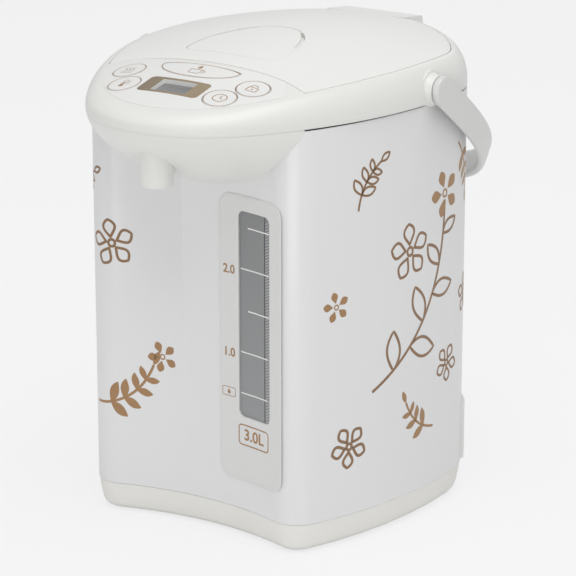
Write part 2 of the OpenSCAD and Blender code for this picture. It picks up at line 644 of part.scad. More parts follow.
// quarter bend in the x-z plane, from angle a to a + 90
module bend(R, r, bore, a) rotate([90, 0, 0]) rotate([0, 0, a]) rotate_extrude(angle = 90)
    translate([R, 0]) difference() {
        circle(r);
        circle(bore);
    }
module spout_pipe() at_body() color([0.85, 0.85, 0.83])
    translate([gauge_axis[0], gauge_axis[1], 0]) rotate([0, 0, direction([0, -nozzle_y] - gauge_axis)]) {
        run = norm([0, -nozzle_y] - gauge_axis);
        tube(4.5, 3.5, 240, pipe_z - pipe_bend);
        translate([pipe_bend, 0, pipe_z - pipe_bend]) bend(pipe_bend, 4.5, 3.5, 90);
        translate([pipe_bend, 0, pipe_z]) rotate([0, 90, 0]) tube(4.5, 3.5, 0, run - 2 * pipe_bend);
        translate([run - pipe_bend, 0, pipe_z - pipe_bend]) bend(pipe_bend, 4.5, 3.5, 0);
        translate([run, 0, 0]) tube(4.5, 3.5, nozzle_z + 1, pipe_z - pipe_bend);
    }
// valve that a rolling ball shuts when the pot tips over
ball_r = 4.5;
seat_r = 3;
valve_floor = 228;
module tip_valve_case() at_body() color(panel_grey) translate([gauge_axis[0], gauge_axis[1], 0]) difference() {
    translate([0, 0, 222]) cylinder(r = 7.5, h = 18);
    translate([0, 0, 221]) cylinder(r = seat_r, h = 20);
    translate([0, 0, valve_floor]) cylinder(r = 5.5, h = 9.6);
}
module tip_valve_ball() at_body() color(steel)
    translate([gauge_axis[0], gauge_axis[1], valve_floor + sqrt(ball_r * ball_r - seat_r * seat_r) + 0.03])
        sphere(ball_r);

// ---- handle ----
// half of the band's centre line: along x, then away from the pivots
function band_point(a) = [arm_x * pow(max(cos(a), 0), 0.72), handle_len * pow(sin(a), 0.72)];
function band_path() =
    let (half = [for (i = [0 : 18]) band_point(i * 5)])
    concat(half, [for (i = [17 : -1 : 0]) [-half[i][0], half[i][1]]]);
function band_section(p, d, t) = [for (k = [0 : 11])
    let (a = k * 30, u = t / 2 * sign(cos(a)) * pow(abs(cos(a)), 0.5),
         v = band_w / 2 * sign(sin(a)) * pow(abs(sin(a)), 0.5))
    [p[0] + d[1] * u, p[1] - d[0] * u, v]];
module handle() at_body() color([0.9, 0.9, 0.89]) translate([0, 0, pivot_z]) rotate([-hang_angle, 0, 0]) {
    path = band_path();
    n = len(path);
    loft([for (i = [0 : n - 1])
        let (d = path[min(i + 1, n - 1)] - path[max(i - 1, 0)], f = pow(path[i][1] / handle_len, 6))
        band_section(path[i], d / norm(d), band_t + (grip_t - band_t) * f)]);
    for (s = [-1, 1]) rotate([0, s * 90, 0]) {
        translate([0, 0, arm_x - band_t / 2]) cylinder(r = band_w / 2, h = band_t);
        translate([0, 0, stub_end]) cylinder(r = stub_r, h = arm_x - stub_end);
    }
}
module handle_clips() at_body() color(steel) translate([0, 0, pivot_z]) for (s = [-1, 1])
    rotate([0, s * 90, 0]) tube(7, stub_r, stub_end + 0.2, stub_end + 1.4);

// ---- container and heating ----
tank_wall = 1.2;
tank_bend = 14;
outlet_bore = 5;
pump = [18, -38];
jacket_r = 86.5;
module tank_profile(g) {
    square([tank_r + g - tank_bend, 300]);
    translate([0, tank_bend]) square([tank_r + g, 300]);
    translate([tank_r + g - tank_bend, tank_bend]) circle(tank_bend);
}
module inner_container() at_body() color(smoke) difference() {
    translate([0, tank_back, 0]) {
        difference() {
            translate([0, 0, tank_floor - tank_wall]) rotate_extrude() intersection() {
                tank_profile(tank_wall);
                square([200, tank_top - tank_floor + tank_wall]);
            }
            translate([0, 0, tank_floor]) rotate_extrude() tank_profile(0);
        }
        tube(jacket_r, tank_r, tank_top - tank_wall, tank_top);
    }
    translate([pump[0], pump[1], 50]) cylinder(r = outlet_bore, h = 30);
}
module mouth_ring() at_body() color(rubber_grey) translate([0, tank_back, 0])
    tube(84, mouth_r, tank_top, tank_top + 2.5);
module insulation_jacket() at_body() color([0.8, 0.8, 0.8]) translate([0, tank_back, 0])
    tube(jacket_r, 84, frame_z + 3, tank_top - tank_wall);
module base_heater() at_body() color(steel) translate([-14, 24, tank_floor - tank_wall - 3]) difference() {
    cylinder(r = 34, h = 3);
    translate([0, 0, -1]) rotate_extrude() translate([24, 0]) square([4, 2]);
}
module band_heater() at_body() color(steel) translate([0, tank_back, 0])
    tube(tank_r + tank_wall + 2, tank_r + tank_wall, 84, 104);
module thermistor() at_body() color(copper) translate([34, 34, 0]) {
    translate([0, 0, 58]) cylinder(r = 3, h = 5);
    translate([0, 0, 62.3]) cylinder(r = 6, h = 3);
}

// ---- pump ----
blade_count = 6;
outlet_z = 35;
elbow_bend = 9;
module blade() // a curved vane that leans back from the hub
    linear_extrude(5) difference() {
        translate([6.5, 0]) circle(8.5);
        translate([6.5, 0]) circle(7.3);
        translate([-20, -40]) square([60, 40]);
        translate([0, 0]) circle(3.5);
    }
module at_pump() at_body() translate([pump[0], pump[1], 0]) children();
module pump_case() color(panel_grey) at_pump() {
    difference() {
        union() {
            translate([0, 0, 29]) cylinder(r = 19, h = 15);
            translate([0, 0, 40]) cylinder(r = 6, h = 14);
            translate([0, 0, outlet_z]) rotate([0, 90, direction(gauge_axis - pump)]) cylinder(r = 5, h = 34);
        }
        translate([0, 0, 31]) cylinder(r = 16.5, h = 11);
        translate([0, 0, 41]) cylinder(r = 4.6, h = 20);
        translate([0, 0, outlet_z]) rotate([0, 90, direction(gauge_axis - pump)]) cylinder(r = 3.5, h = 40);
    }
    translate([0, 0, 30.5]) cylinder(r = 1.5, h = 9.5);
}
module pump_impeller() color(plastic_white) at_pump() difference() {
    union() {
        translate([0, 0, 32]) cylinder(r = 15.5, h = 2.5);
        translate([0, 0, 32]) cylinder(r = 3.6, h = 7);
        intersection() {
            for (i = [0 : blade_count - 1]) rotate([0, 0, i * 360 / blade_count])
                translate([0, 0, 34.4]) blade();
            translate([0, 0, 30]) cylinder(r = 15.5, h = 12);
        }
    }
    translate([0, 0, 30]) cylinder(r = 1.5 + running, h = 12);
}
module motor() color(steel) at_pump() difference() {
    union() {
        translate([0, 0, floor_z]) cylinder(r = 14, h = 16);
        translate([0, 0, floor_z]) cylinder(r = 5, h = 18);
    }
    translate([0, 0, 8]) cylinder(r = 1.5 + running, h = 20);
}
module motor_rotor() color(smoke) at_pump() {
    translate([0, 0, 9]) cylinder(r = 1.5, h = 15);
    translate([0, 0, 23.5]) cylinder(r = 14, h = 4.8);
}
module inlet_hose() color(rubber_grey) at_pump() tube(8, 6, 46, tank_floor - tank_wall - 0.1);
module outlet_elbow() color(rubber_grey) at_pump() rotate([0, 0, direction(gauge_axis - pump)]) {
    run = norm(gauge_axis - pump);
    translate([24, 0, outlet_z]) rotate([0, 90, 0]) tube(7, 5, 0, 10);
    translate([34, 0, outlet_z]) rotate([0, 90, 0]) tube(7, 3.5, 0, run - 34 - elbow_bend);
    translate([run - elbow_bend, 0, outlet_z + elbow_bend]) bend(elbow_bend, 7, 3.5, 270);
    translate([run, 0, 0]) {
        tube(7, 3.5, outlet_z + elbow_bend, 56);
        tube(7, gauge_r, 56, 64);
    }
}
module power_board() at_body() color(board_green)
    translate([-38, 42, board_z]) cube([76, 46, 1.6]);

base_cover();
rubber_feet();
base_screws();
lower_frame();
outer_shell();
top_housing();
mouth_frame();
spout_cover();
spout_nozzle();
spout_pipe();
tip_valve_case();
tip_valve_ball();
gauge_panel();
gauge_window();
gauge_backing();
gauge_tube();
control_sheet();
display_frame();
display_module();
control_board();
key_switches();
dispense_key();
unlock_key();
timer_key();
reboil_key();
temperature_key();
lid_cover();
inner_lid();
lid_gasket();
steam_vent();
lid_lever();
lever_pin();
lever_spring();
latch_slide();
hinge_cover();
hinge_pin();
handle();
handle_clips();
inner_container();
mouth_ring();
base_heater();
band_heater();
thermistor();
insulation_jacket();
pump_case();
pump_impeller();
motor();
motor_rotor();
inlet_hose();
outlet_elbow();
power_board();
plug_receptacle();
receptacle_pins();
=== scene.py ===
from math import asin, atan2, copysign, cos, degrees, hypot, pi, radians, sin, sqrt

import bmesh
import bpy
import numpy as np
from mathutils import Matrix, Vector


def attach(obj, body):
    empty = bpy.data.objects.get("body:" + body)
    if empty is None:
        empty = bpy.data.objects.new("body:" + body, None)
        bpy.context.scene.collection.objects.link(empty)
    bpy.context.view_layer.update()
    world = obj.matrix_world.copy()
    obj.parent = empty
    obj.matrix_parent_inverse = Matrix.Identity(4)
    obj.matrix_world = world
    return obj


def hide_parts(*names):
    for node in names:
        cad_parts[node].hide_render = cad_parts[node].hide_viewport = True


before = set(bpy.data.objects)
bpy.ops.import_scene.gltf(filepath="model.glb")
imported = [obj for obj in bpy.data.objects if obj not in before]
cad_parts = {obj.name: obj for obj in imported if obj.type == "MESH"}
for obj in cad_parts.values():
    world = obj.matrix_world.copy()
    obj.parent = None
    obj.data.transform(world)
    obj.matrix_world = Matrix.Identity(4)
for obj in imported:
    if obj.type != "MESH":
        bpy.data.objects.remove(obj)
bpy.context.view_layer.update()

MM = 0.001
BACK = 17.8  # the body's own centre lies this far behind the origin; points below are in body millimetres
DISPLAY = (0, -119.6)
SMOOTH_UP_TO = 32  # degrees between faces that are shaded as one


# ---- finishes
class Field:
    """A shader socket that takes part in Python sums."""

    def __init__(self, finish, socket):
        self.finish, self.socket = finish, socket

    def maths(self, operation, other):
        return self.finish.field("ShaderNodeMath", {0: self, 1: other}, operation=operation)

    def __add__(self, other):
        return self.maths("ADD", other)

    def __mul__(self, other):
        return self.maths("MULTIPLY", other)

    def over(self, limit):
        return self.maths("GREATER_THAN", limit)


class Finish:
    """A material round one Principled shader."""

    def __init__(self, name, colour, roughness, metallic=0.0, coat=0.0, alpha=1.0, **sockets):
        self.material = bpy.data.materials.new(name)
        self.material.use_nodes = True
        self.tree = self.material.node_tree
        self.surface = next(n for n in self.tree.nodes if n.type == "BSDF_PRINCIPLED")
        self.colour, self.roughness = colour, roughness
        sockets |= {"Base_Color": (*colour, 1.0), "Roughness": roughness, "Metallic": metallic,
                    "Coat_Weight": coat, "Coat_Roughness": 0.12, "Alpha": alpha}
        for socket, value in sockets.items():
            self.put(socket.replace("_", " "), value)
        self.place = self.field("ShaderNodeTexCoord", output="Object")

    def feed(self, socket, value):
        if isinstance(value, Field):
            self.tree.links.new(value.socket, socket)
        else:
            socket.default_value = value

    def put(self, socket, value):
        self.feed(self.surface.inputs[socket], value)

    def node(self, kind, values=None, **settings):
        made = self.tree.nodes.new(kind)
        for setting, value in settings.items():
            setattr(made, setting, value)
        for socket, value in (values or {}).items():
            self.feed(made.inputs[socket], value)
        return made

    def field(self, kind, values=None, output=0, **settings):
        return Field(self, self.node(kind, values, **settings).outputs[output])

    def noise(self, size_mm, detail=2.0, stretch=(1.0, 1.0, 1.0)):
        """Cloudy noise from 0 to 1 whose lumps are about size_mm wide."""
        scaled = self.field("ShaderNodeMapping", {"Vector": self.place, "Scale": stretch})
        return self.field("ShaderNodeTexNoise", {
            "Vector": scaled, "Scale": 1000.0 / size_mm, "Detail": detail}, "Fac")

    def axis(self, index):
        return self.field("ShaderNodeSeparateXYZ", {0: self.place}, index)

    def ramp(self, value, low, high, start=0.0, end=1.0):
        return self.field("ShaderNodeMapRange", {
            "Value": value, "From Min": low, "From Max": high, "To Min": start, "To Max": end}, clamp=True)

    def shade(self, share, low, high):
        """Runs the base colour from one tint of the finish's colour to another."""
        first, second = ((*(c * factor for c in self.colour), 1.0) for factor in (low, high))
        self.put("Base Color", self.field(
            "ShaderNodeMix", {"Factor": share, 6: first, 7: second}, 2, data_type="RGBA"))

    def gloss(self, value, low, high, less, more):
        """Lets the roughness vary round its set value."""
        self.put("Roughness", self.ramp(value, low, high, self.roughness - less, self.roughness + more))

    def relief(self, height, depth_mm):
        self.put("Normal", self.field("ShaderNodeBump", {
            "Height": height, "Distance": depth_mm * MM, "Strength": 1.0}))


def moulded(name, colour, roughness, grain=0.7, depth=0.012, coat=0.0, cloud=0.012):
    """Injection-moulded plastic: fine grain, a little unevenness of tone and gloss."""
    finish = Finish(name, colour, roughness, coat=coat)
    soft, fine = finish.noise(38, 1.0), finish.noise(grain, 3.0)
    finish.shade(soft, 1 - cloud, 1 + cloud)
    finish.gloss(soft + fine * 0.5, 0.3, 1.1, 0.03, 0.04)
    finish.relief(fine, depth)
    return finish


def enamelled(name, colour, roughness):
    """Baked paint on steel: a faint orange peel under a clear gloss."""
    finish = Finish(name, colour, roughness, coat=0.35)
    peel = finish.noise(1.7, 1.0)
    finish.shade(finish.noise(60, 1.0), 0.992, 1.008)
    finish.gloss(peel, 0.3, 0.7, 0.02, 0.03)
    finish.relief(peel, 0.010)
    return finish


def metal(name, colour, roughness):
    """Metal with fine lines that run round it."""
    finish = Finish(name, colour, roughness, metallic=1.0)
    lines = finish.noise(1.4, 2.0, (1.0, 1.0, 14.0))
    finish.shade(lines, 0.9, 1.05)
    finish.gloss(lines, 0.3, 0.7, 0.06, 0.08)
    finish.relief(lines, 0.006)
    return finish


def rubbery(name, colour):
    finish = Finish(name, colour, 0.7)
    finish.shade(finish.noise(6, 4.0), 0.93, 1.05)
    finish.relief(finish.noise(0.9, 3.0), 0.03)
    return finish


def laminate(name, colour):
    """Circuit board: woven glass under solder resist, with tracks."""
    finish = Finish(name, colour, 0.35, coat=0.3)
    tracks = finish.field("ShaderNodeTexWave", {
        "Vector": finish.place, "Scale": 140.0, "Distortion": 6.0, "Detail": 1.0}, "Fac",
        wave_type="BANDS", bands_direction="X").over(0.72)
    finish.shade(tracks, 1.0, 1.9)
    finish.relief(tracks, 0.03)
    return finish


def lined_steel():
    """Non-stick lining: dark speckled coating with a soft sheen."""
    finish = Finish("lined_steel", (0.115, 0.115, 0.118), 0.38, coat=0.3)
    finish.shade(finish.noise(1.1, 2.0).over(0.63), 1.0, 2.3)
    finish.relief(finish.noise(1.6, 2.0), 0.02)
    return finish


def bronze_film():
    """Metallic bronze print with a fine sparkle, and a painted highlight that lightens it towards its right
    end.
    """
    finish = Finish("bronze_film", (0.300, 0.225, 0.135), 0.34, metallic=0.35, coat=0.3)
    spark = finish.noise(0.55, 4.0)
    # painted highlight: a ramp that lightens the film towards its right end
    painted_highlight = finish.ramp(finish.axis(0), -19 * MM, 6 * MM)
    # base colour: part real sparkle, part painted highlight
    finish.shade(finish.ramp(spark, 0.35, 0.7) * 0.45 + painted_highlight * 0.55, 0.70, 1.35)
    finish.gloss(spark, 0.3, 0.7, 0.06, 0.08)
    finish.relief(spark, 0.008)
    return finish


def smoked_glass():
    """Window of the gauge: smoked, with painted shade that makes it a little darker towards its top."""
    finish = Finish("smoked_glass", (0.325, 0.331, 0.336), 0.10, alpha=0.72, coat=0.6)
    # painted shade: lighter at the bottom, darker towards the top
    finish.shade(finish.ramp(finish.axis(2), 80 * MM, 200 * MM), 1.16, 0.92)
    return finish


def display_glass():
    """Liquid crystal window: a grey field with painted shade that darkens it towards its rear edge."""
    finish = Finish("display_glass", (0.165, 0.170, 0.170), 0.14, coat=0.7)
    middle = DISPLAY[1] + BACK
    # painted shade: darker towards the rear edge of the well
    finish.shade(finish.ramp(finish.axis(1), (middle - 7) * MM, (middle + 7) * MM), 1.35, 0.75)
    return finish


PRINTED = {"grain": 0.5, "depth": 0.004}
INK = {**PRINTED, "coat": 0.2, "cloud": 0.05}

top_white = moulded("top_white", (0.790, 0.790, 0.765), 0.36, coat=0.15)
lid_white = moulded("lid_white", (0.815, 0.817, 0.795), 0.44, coat=0.08)
key_white = moulded("key_white", (0.800, 0.800, 0.785), 0.34, coat=0.2, cloud=0.006)
film_white = moulded("film_white", (0.805, 0.805, 0.790), 0.36, 0.35, 0.006, coat=0.15, cloud=0.004)
handle_white = moulded("handle_white", (0.705, 0.705, 0.696), 0.32, coat=0.2)
base_grey = moulded("base_grey", (0.825, 0.818, 0.785), 0.46, grain=0.5, depth=0.02)
receptacle_white = moulded("receptacle_white", (0.78, 0.78, 0.765), 0.38)
shell_white = enamelled("shell_white", (0.770, 0.770, 0.772), 0.34)
plate_grey = moulded("plate_grey", (0.722, 0.723, 0.716), 0.40, 0.4, 0.01, coat=0.1, cloud=0.006)
inner_grey = moulded("inner_grey", (0.42, 0.42, 0.42), 0.5, grain=0.9, depth=0.02)
duct_grey = moulded("duct_grey", (0.16, 0.165, 0.17), 0.55, grain=0.8, depth=0.02)
black_plastic = moulded("black_plastic", (0.03, 0.03, 0.032), 0.45)
lid_inner = moulded("lid_inner", (0.60, 0.60, 0.59), 0.42)
bright_steel = metal("bright_steel", (0.62, 0.62, 0.62), 0.30)
copper_metal = metal("copper_metal", (0.60, 0.33, 0.18), 0.35)
silicone = rubbery("silicone", (0.62, 0.61, 0.58))
foot_rubber = rubbery("foot_rubber", (0.50, 0.49, 0.47))
board_green = laminate("board_green", (0.03, 0.14, 0.06))
print_brown = moulded("print_brown", (0.260, 0.145, 0.070), 0.38, **INK)
print_bronze = moulded("print_bronze", (0.360, 0.200, 0.085), 0.36, **INK)
print_pale = moulded("print_pale", (0.80, 0.80, 0.79), 0.5, **PRINTED)
print_grey = moulded("print_grey", (0.36, 0.365, 0.37), 0.5, **PRINTED)
print_dark = moulded("print_dark", (0.050, 0.052, 0.055), 0.5, **PRINTED)
tube_clear = Finish("tube_clear", (0.80, 0.84, 0.86), 0.06, alpha=0.28, coat=1.0)
lining = lined_steel()
bronze = bronze_film()
smoked = smoked_glass()
display_grey = display_glass()

NODES_OF_FINISH = (
    (base_grey, "base_cover"), (foot_rubber, "rubber_feet"), (shell_white, "outer_shell"),
    (top_white, "top_housing spout_cover spout_nozzle"), (handle_white, "handle"),
    (plate_grey, "gauge_panel"), (smoked, "gauge_window"), (tube_clear, "gauge_tube"),
    (duct_grey, "gauge_backing"), (film_white, "control_sheet"), (bronze, "display_frame"),
    (display_grey, "display_module"), (board_green, "control_board power_board"),
    (key_white, "dispense_key unlock_key timer_key reboil_key temperature_key"),
    (black_plastic, "key_switches motor_rotor"), (lid_white, "lid_cover lid_lever hinge_cover"),
    (lid_inner, "mouth_frame inner_lid latch_slide pump_impeller"),
    (inner_grey, "lower_frame tip_valve_case steam_vent insulation_jacket pump_case"),
    (silicone, "spout_pipe lid_gasket mouth_ring inlet_hose outlet_elbow"),
    (lining, "inner_container"), (copper_metal, "thermistor"), (receptacle_white, "plug_receptacle"),
    (bright_steel, "base_screws tip_valve_ball lever_pin lever_spring hinge_pin handle_clips base_heater "
                   "band_heater motor receptacle_pins"))


def node_tree(name, *inputs):
    """A Geometry Nodes tree with named inputs beside its geometry, and the sockets at its two ends."""
    tree = bpy.data.node_groups.new(name, "GeometryNodeTree")
    for label, kind in (("Geometry", "Geometry"), *inputs):
        tree.interface.new_socket(label, in_out="INPUT", socket_type="NodeSocket" + kind)
    tree.interface.new_socket("Geometry", in_out="OUTPUT", socket_type="NodeSocketGeometry")
    return tree, tree.nodes.new("NodeGroupInput").outputs, tree.nodes.new("NodeGroupOutput").inputs


def add_tree(piece, name, tree, values):
    modifier = piece.modifiers.new(name, "NODES")
    modifier.node_group = tree
    for socket in tree.interface.items_tree:
        if socket.name in values:
            modifier[socket.identifier] = values[socket.name]


def softening():
    """Joins a node's loose triangles and shades them smooth up to an edge angle."""
    tree, given, result = node_tree("softening", ("Edge Angle", "Float"))
    add, link = tree.nodes.new, tree.links.new
    bare, join = add("GeometryNodeRemoveAttribute"), add("GeometryNodeMergeByDistance")
    bare.inputs["Name"].default_value = "custom_normal"
    join.inputs["Distance"].default_value = 0.002 * MM
    smooth, sharp = add("GeometryNodeSetShadeSmooth"), add("GeometryNodeSetShadeSmooth")
    sharp.domain = "EDGE"
    sharp.inputs["Shade Smooth"].default_value = False
    angle, beyond = add("GeometryNodeInputMeshEdgeAngle"), add("FunctionNodeCompare")
    beyond.operation = "GREATER_THAN"
    link(given["Geometry"], bare.inputs["Geometry"])
    for maker, taker in ((bare, join), (join, smooth), (smooth, sharp)):
        link(maker.outputs[0], taker.inputs["Geometry"])
    link(angle.outputs["Unsigned Angle"], beyond.inputs["A"])
    link(given["Edge Angle"], beyond.inputs["B"])
    link(beyond.outputs[0], sharp.inputs["Selection"])
    link(sharp.outputs[0], result["Geometry"])
    return tree


soften_tree = softening()
for finish, names in NODES_OF_FINISH:
    for node in (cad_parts[name] for name in names.split()):
        node.data.materials.clear()
        node.data.materials.append(finish.material)
        add_tree(node, "soften", soften_tree, {"Edge Angle": radians(SMOOTH_UP_TO)})


# ---- outlines, in body millimetres
def cosd(angle):
    return cos(radians(angle))


def sind(angle):
    return sin(radians(angle))


def heading(to, start):
    return degrees(atan2(to[1] - start[1], to[0] - start[0]))


def polar(centre, radius, turns):
    return [(centre[0] + radius * cosd(a), centre[1] + radius * sind(a)) for a in turns]


def arc(centre, radius, start, end, steps, first=1):
    return polar(centre, radius, [start + (end - start) * i / steps for i in range(first, steps + 1)])


def circle(radius, steps=96, centre=(0.0, 0.0)):
    return polar(centre, radius, [360 * i / steps for i in range(steps)])


def turned(points, turn, at=(0, 0)):
    return [(at[0] + (x * cosd(turn) - y * sind(turn)), at[1] + (x * sind(turn) + y * cosd(turn)))
            for x, y in points]


def towards(centre, share, points):
    return [(centre[0] + (x - centre[0]) * share, centre[1] + (y - centre[1]) * share) for x, y in points]


def level(outline, z):
    return [(x, y, z) for x, y in outline]


def neighbours(path, closed=False):
    """Each point of a path with the one before and the one after; an open end stands in for itself."""
    path = [path[-1], *path, *path[:2]] if closed else [path[0], *path, path[-1]]
    return zip(path, path[1:], path[2:])


def power(value, exponent):
    return copysign(abs(value) ** exponent, value)


def touching(c1, r1, c2, r2, radius):
    """Centre of the arc that touches two circles from outside them."""
    dx, dy = c2[0] - c1[0], c2[1] - c1[1]
    gap, a, b = hypot(dx, dy), radius - r1, radius - r2
    m = (a * a - b * b + gap * gap) / (2 * gap)
    h = sqrt(a * a - m * m)
    return c1[0] + dx / gap * m - dy / gap * h, c1[1] + dy / gap * m + dx / gap * h


FRONT_FACE_R, FRONT_CORNER_R, SIDE_R, REAR_CORNER_R, REAR_FACE_R = 184, 17, 264, 49.7, 110.6
FRONT_CORNER, REAR_CORNER = (63, -87), (50.7, 27)
NOSE, NOSE_R, TOP_SIDE_R = (0, -85.5), 71.5, 225
REAR_CENTRE = (0, REAR_CORNER[1] - sqrt((REAR_FACE_R - REAR_CORNER_R) ** 2 - REAR_CORNER[0] ** 2))
FACE_CENTRE = (0, FRONT_CORNER[1] - sqrt((FRONT_FACE_R + FRONT_CORNER_R) ** 2 - FRONT_CORNER[0] ** 2))
BODY_SIDE = touching(FRONT_CORNER, FRONT_CORNER_R, REAR_CORNER, REAR_CORNER_R, SIDE_R)
TOP_SIDE = touching(NOSE, NOSE_R, REAR_CORNER, REAR_CORNER_R, TOP_SIDE_R)
BASE_TOP, SHELL_TOP, LEDGE_Z, ROLL_Z, ROLL_W = 19, 258.5, 266, 263, 8.8
DOME_TOP, DOME_PEAK_Y, SIDE_FALL, LONG_FALL, DECK_TILT = 292.6, 5, 0.00143, 0.00095, 12
LID_FRONT, LID_CORNER, LID_INSET, LID_GAP, LID_FOCUS = 82.2, 89.7, 10, 0.5, (0, 10)
LIP, WALL, SHEET_T = 1.2, 2.5, 0.4
CORNER_TURN = degrees(asin((-LID_CORNER - TOP_SIDE[1]) / (TOP_SIDE_R - LID_INSET)))
CORNER_X = TOP_SIDE[0] + (TOP_SIDE_R - LID_INSET) * cosd(CORNER_TURN)
NOSE_TURN = heading(NOSE, TOP_SIDE)
NOSE_STEPS, CORNER_STEPS = 40, 12
HINGE_Y, HINGE_Z, HINGE_R, HINGE_W, HINGE_GAP = 91, 276, 18.2, 56, 0.6
PIVOT_Z, STUB_R = 266, 4.5


def back_half(side, radius, grow, start, steps):
    end, turn = heading(REAR_CORNER, side), heading(REAR_CORNER, REAR_CENTRE)
    return (arc(side, radius + grow, start, end, steps)
            + arc(REAR_CORNER, REAR_CORNER_R + grow, end, turn, 32)
            + arc(REAR_CENTRE, REAR_FACE_R + grow, turn, 90, 20))


def mirrored(half):
    return half + [(-x, y) for x, y in half[-2:0:-1]]


def body_half(grow=0.0):
    """The body's outline from the middle of its hollow front round the right side to the rear."""
    turn, out = heading(FRONT_CORNER, FACE_CENTRE), heading(FRONT_CORNER, BODY_SIDE)
    return (arc(FACE_CENTRE, FRONT_FACE_R - grow, 90, turn, 24, 0)
            + arc(FRONT_CORNER, FRONT_CORNER_R + grow, turn - 180, out, 28)
            + back_half(BODY_SIDE, SIDE_R, grow, out, 24))


def body_outline(grow=0.0):
    return mirrored(body_half(grow))


def nose_half(grow, turn):
    return (arc(NOSE, NOSE_R + grow, -90, NOSE_TURN, NOSE_STEPS, 0)
            + arc(TOP_SIDE, TOP_SIDE_R + grow, NOSE_TURN, turn, CORNER_STEPS))


def top_outline(grow=0.0):
    return mirrored(nose_half(grow, CORNER_TURN) + back_half(TOP_SIDE, TOP_SIDE_R, grow, CORNER_TURN, 28))


def dome(x, y, drop=0.0):
    return DOME_TOP - drop - SIDE_FALL * x * x - LONG_FALL * (y - DOME_PEAK_Y) ** 2


def raised(points, drop=0.0):
    return [(x, y, dome(x, y, drop)) for x, y in points]


def lid_outline(grow=0.0):
    """The lid's opening: the rim's inset, met in front by a bowed edge."""
    made = []
    for x, y in top_outline(grow - LID_INSET):
        dx, dy, share = x - LID_FOCUS[0], y - LID_FOCUS[1], 1.0
        if -dy > abs(dx):
            for _ in range(6):
                share = (LID_FOCUS[1] + LID_FRONT + grow
                         + (LID_CORNER - LID_FRONT) * (dx * share / CORNER_X) ** 4) / -dy
            share = min(share, 1.0)
        made.append((LID_FOCUS[0] + dx * share, LID_FOCUS[1] + dy * share))
    return made


def deck_loop(share, drop=0.0, edge=0.0, inset=0.0):
    """A loop on the dome between the lid's opening (share 0) and the rolled edge (share 1)."""
    pairs = zip(lid_outline(edge), top_outline(inset - ROLL_W))
    return raised([(a[0] * (1 - share) + b[0] * share, a[1] * (1 - share) + b[1] * share)
                   for a, b in pairs], drop)


def roll_loop(turn, inner=0.0):
    """A loop of the rolled edge, which turns from the dome (0) to upright (90)."""
    made = []
    for a, b in zip(top_outline(inner * 0.16 - ROLL_W), top_outline(-inner)):
        x, y = a[0] + (b[0] - a[0]) * sind(turn), a[1] + (b[1] - a[1]) * sind(turn)
        fall = (dome(*b, inner) - ROLL_Z) * (1 - cosd(turn))
        made.append((x, y, dome(x, y, inner) - fall))
    return made


def on_deck(spot):
    """Places a point of the sloping deck's own plane, whose middle is a spot on the dome."""
    def place(x, y, z=0.0):
        return (spot[0] + x, spot[1] + y * cosd(DECK_TILT) - z * sind(DECK_TILT),
                dome(*spot) + y * sind(DECK_TILT) + z * cosd(DECK_TILT))
    return place


# ---- making pieces
def add_object(name, data):
    made = bpy.data.objects.new(name, data)
    bpy.context.scene.collection.objects.link(made)
    return made


def mesh_object(name, points, faces, finish=None, closed=True):
    mesh = bpy.data.meshes.new(name)
    mesh.from_pydata(((np.asarray(points, float) + (0, BACK, 0)) * MM).tolist(), [], faces)
    if finish:
        mesh.materials.append(finish.material)
    if closed:
        form = bmesh.new()
        form.from_mesh(mesh)
        bmesh.ops.recalc_face_normals(form, faces=form.faces)
        form.to_mesh(mesh)
        form.free()
    return add_object(name, mesh)


def loft(name, loops, finish=None, ring=False):
    """A closed solid through loops of equally many points."""
    n, m = len(loops[0]), len(loops)
    faces = [(j * n + i, (j + 1) % m * n + i, (j + 1) % m * n + (i + 1) % n, j * n + (i + 1) % n)
             for j in range(m if ring else m - 1) for i in range(n)]
    if not ring:
        faces += [tuple(range(n)), tuple(range(m * n - 1, (m - 1) * n - 1, -1))]
    return mesh_object(name, [p for loop in loops for p in loop], faces, finish)


def revolve(name, profile, place, finish, steps=96):
    """A closed ring or disc: profile points are (radius, height) and run round the section."""
    loops = [[place(r * cosd(360 * i / steps), r * sind(360 * i / steps), h) for r, h in profile]
             for i in range(steps)]
    return loft(name, loops, finish, ring=True)


def upright(x, y, z):
    return x, y, z


def prism(outline, low, high, place=upright):
    return loft("cutter", [[place(x, y, z) for x, y in outline] for z in (low, high)])


def block(low, high):
    (x0, y0, z0), (x1, y1, z1) = low, high
    return prism([(x0, y0), (x1, y0), (x1, y1), (x0, y1)], z0, z1)


def across(y0, z0, low, high, outline):
    """A prism along x of an outline round (y0, z0)."""
    return loft("cutter", [[(x, y0 + a, z0 + b) for a, b in outline] for x in (low, high)])


def shaped(piece):
    return bpy.data.meshes.new_from_object(piece.evaluated_get(bpy.context.evaluated_depsgraph_get()))


def bake(piece):
    mesh = shaped(piece)
    piece.modifiers.clear()
    piece.data = mesh


def carve(piece, cutters, operation="DIFFERENCE"):
    for cutter in cutters:
        cut = piece.modifiers.new("carve", "BOOLEAN")
        cut.operation, cut.solver, cut.object = operation, "EXACT", cutter
    bake(piece)
    for cutter in cutters:
        bpy.data.objects.remove(cutter)


def settle(piece, body, stands_for=(), crease=SMOOTH_UP_TO):
    piece.data.shade_smooth()
    piece.data.set_sharp_from_angle(angle=radians(crease))
    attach(piece, body)
    if stands_for:
        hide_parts(*stands_for)
    return piece


# ---- top housing
ROUND_KEYS = {"unlock": (43.6, -103.4), "timer": (33.5, -122), "reboil": (-43.6, -103.4),
              "temperature": (-33.5, -122)}
DISPENSE, KEY_R, KEY_GAP = (0, -96.2), 10, 0.35
EACH_SIDE = ((-1, "left"), (1, "right"))


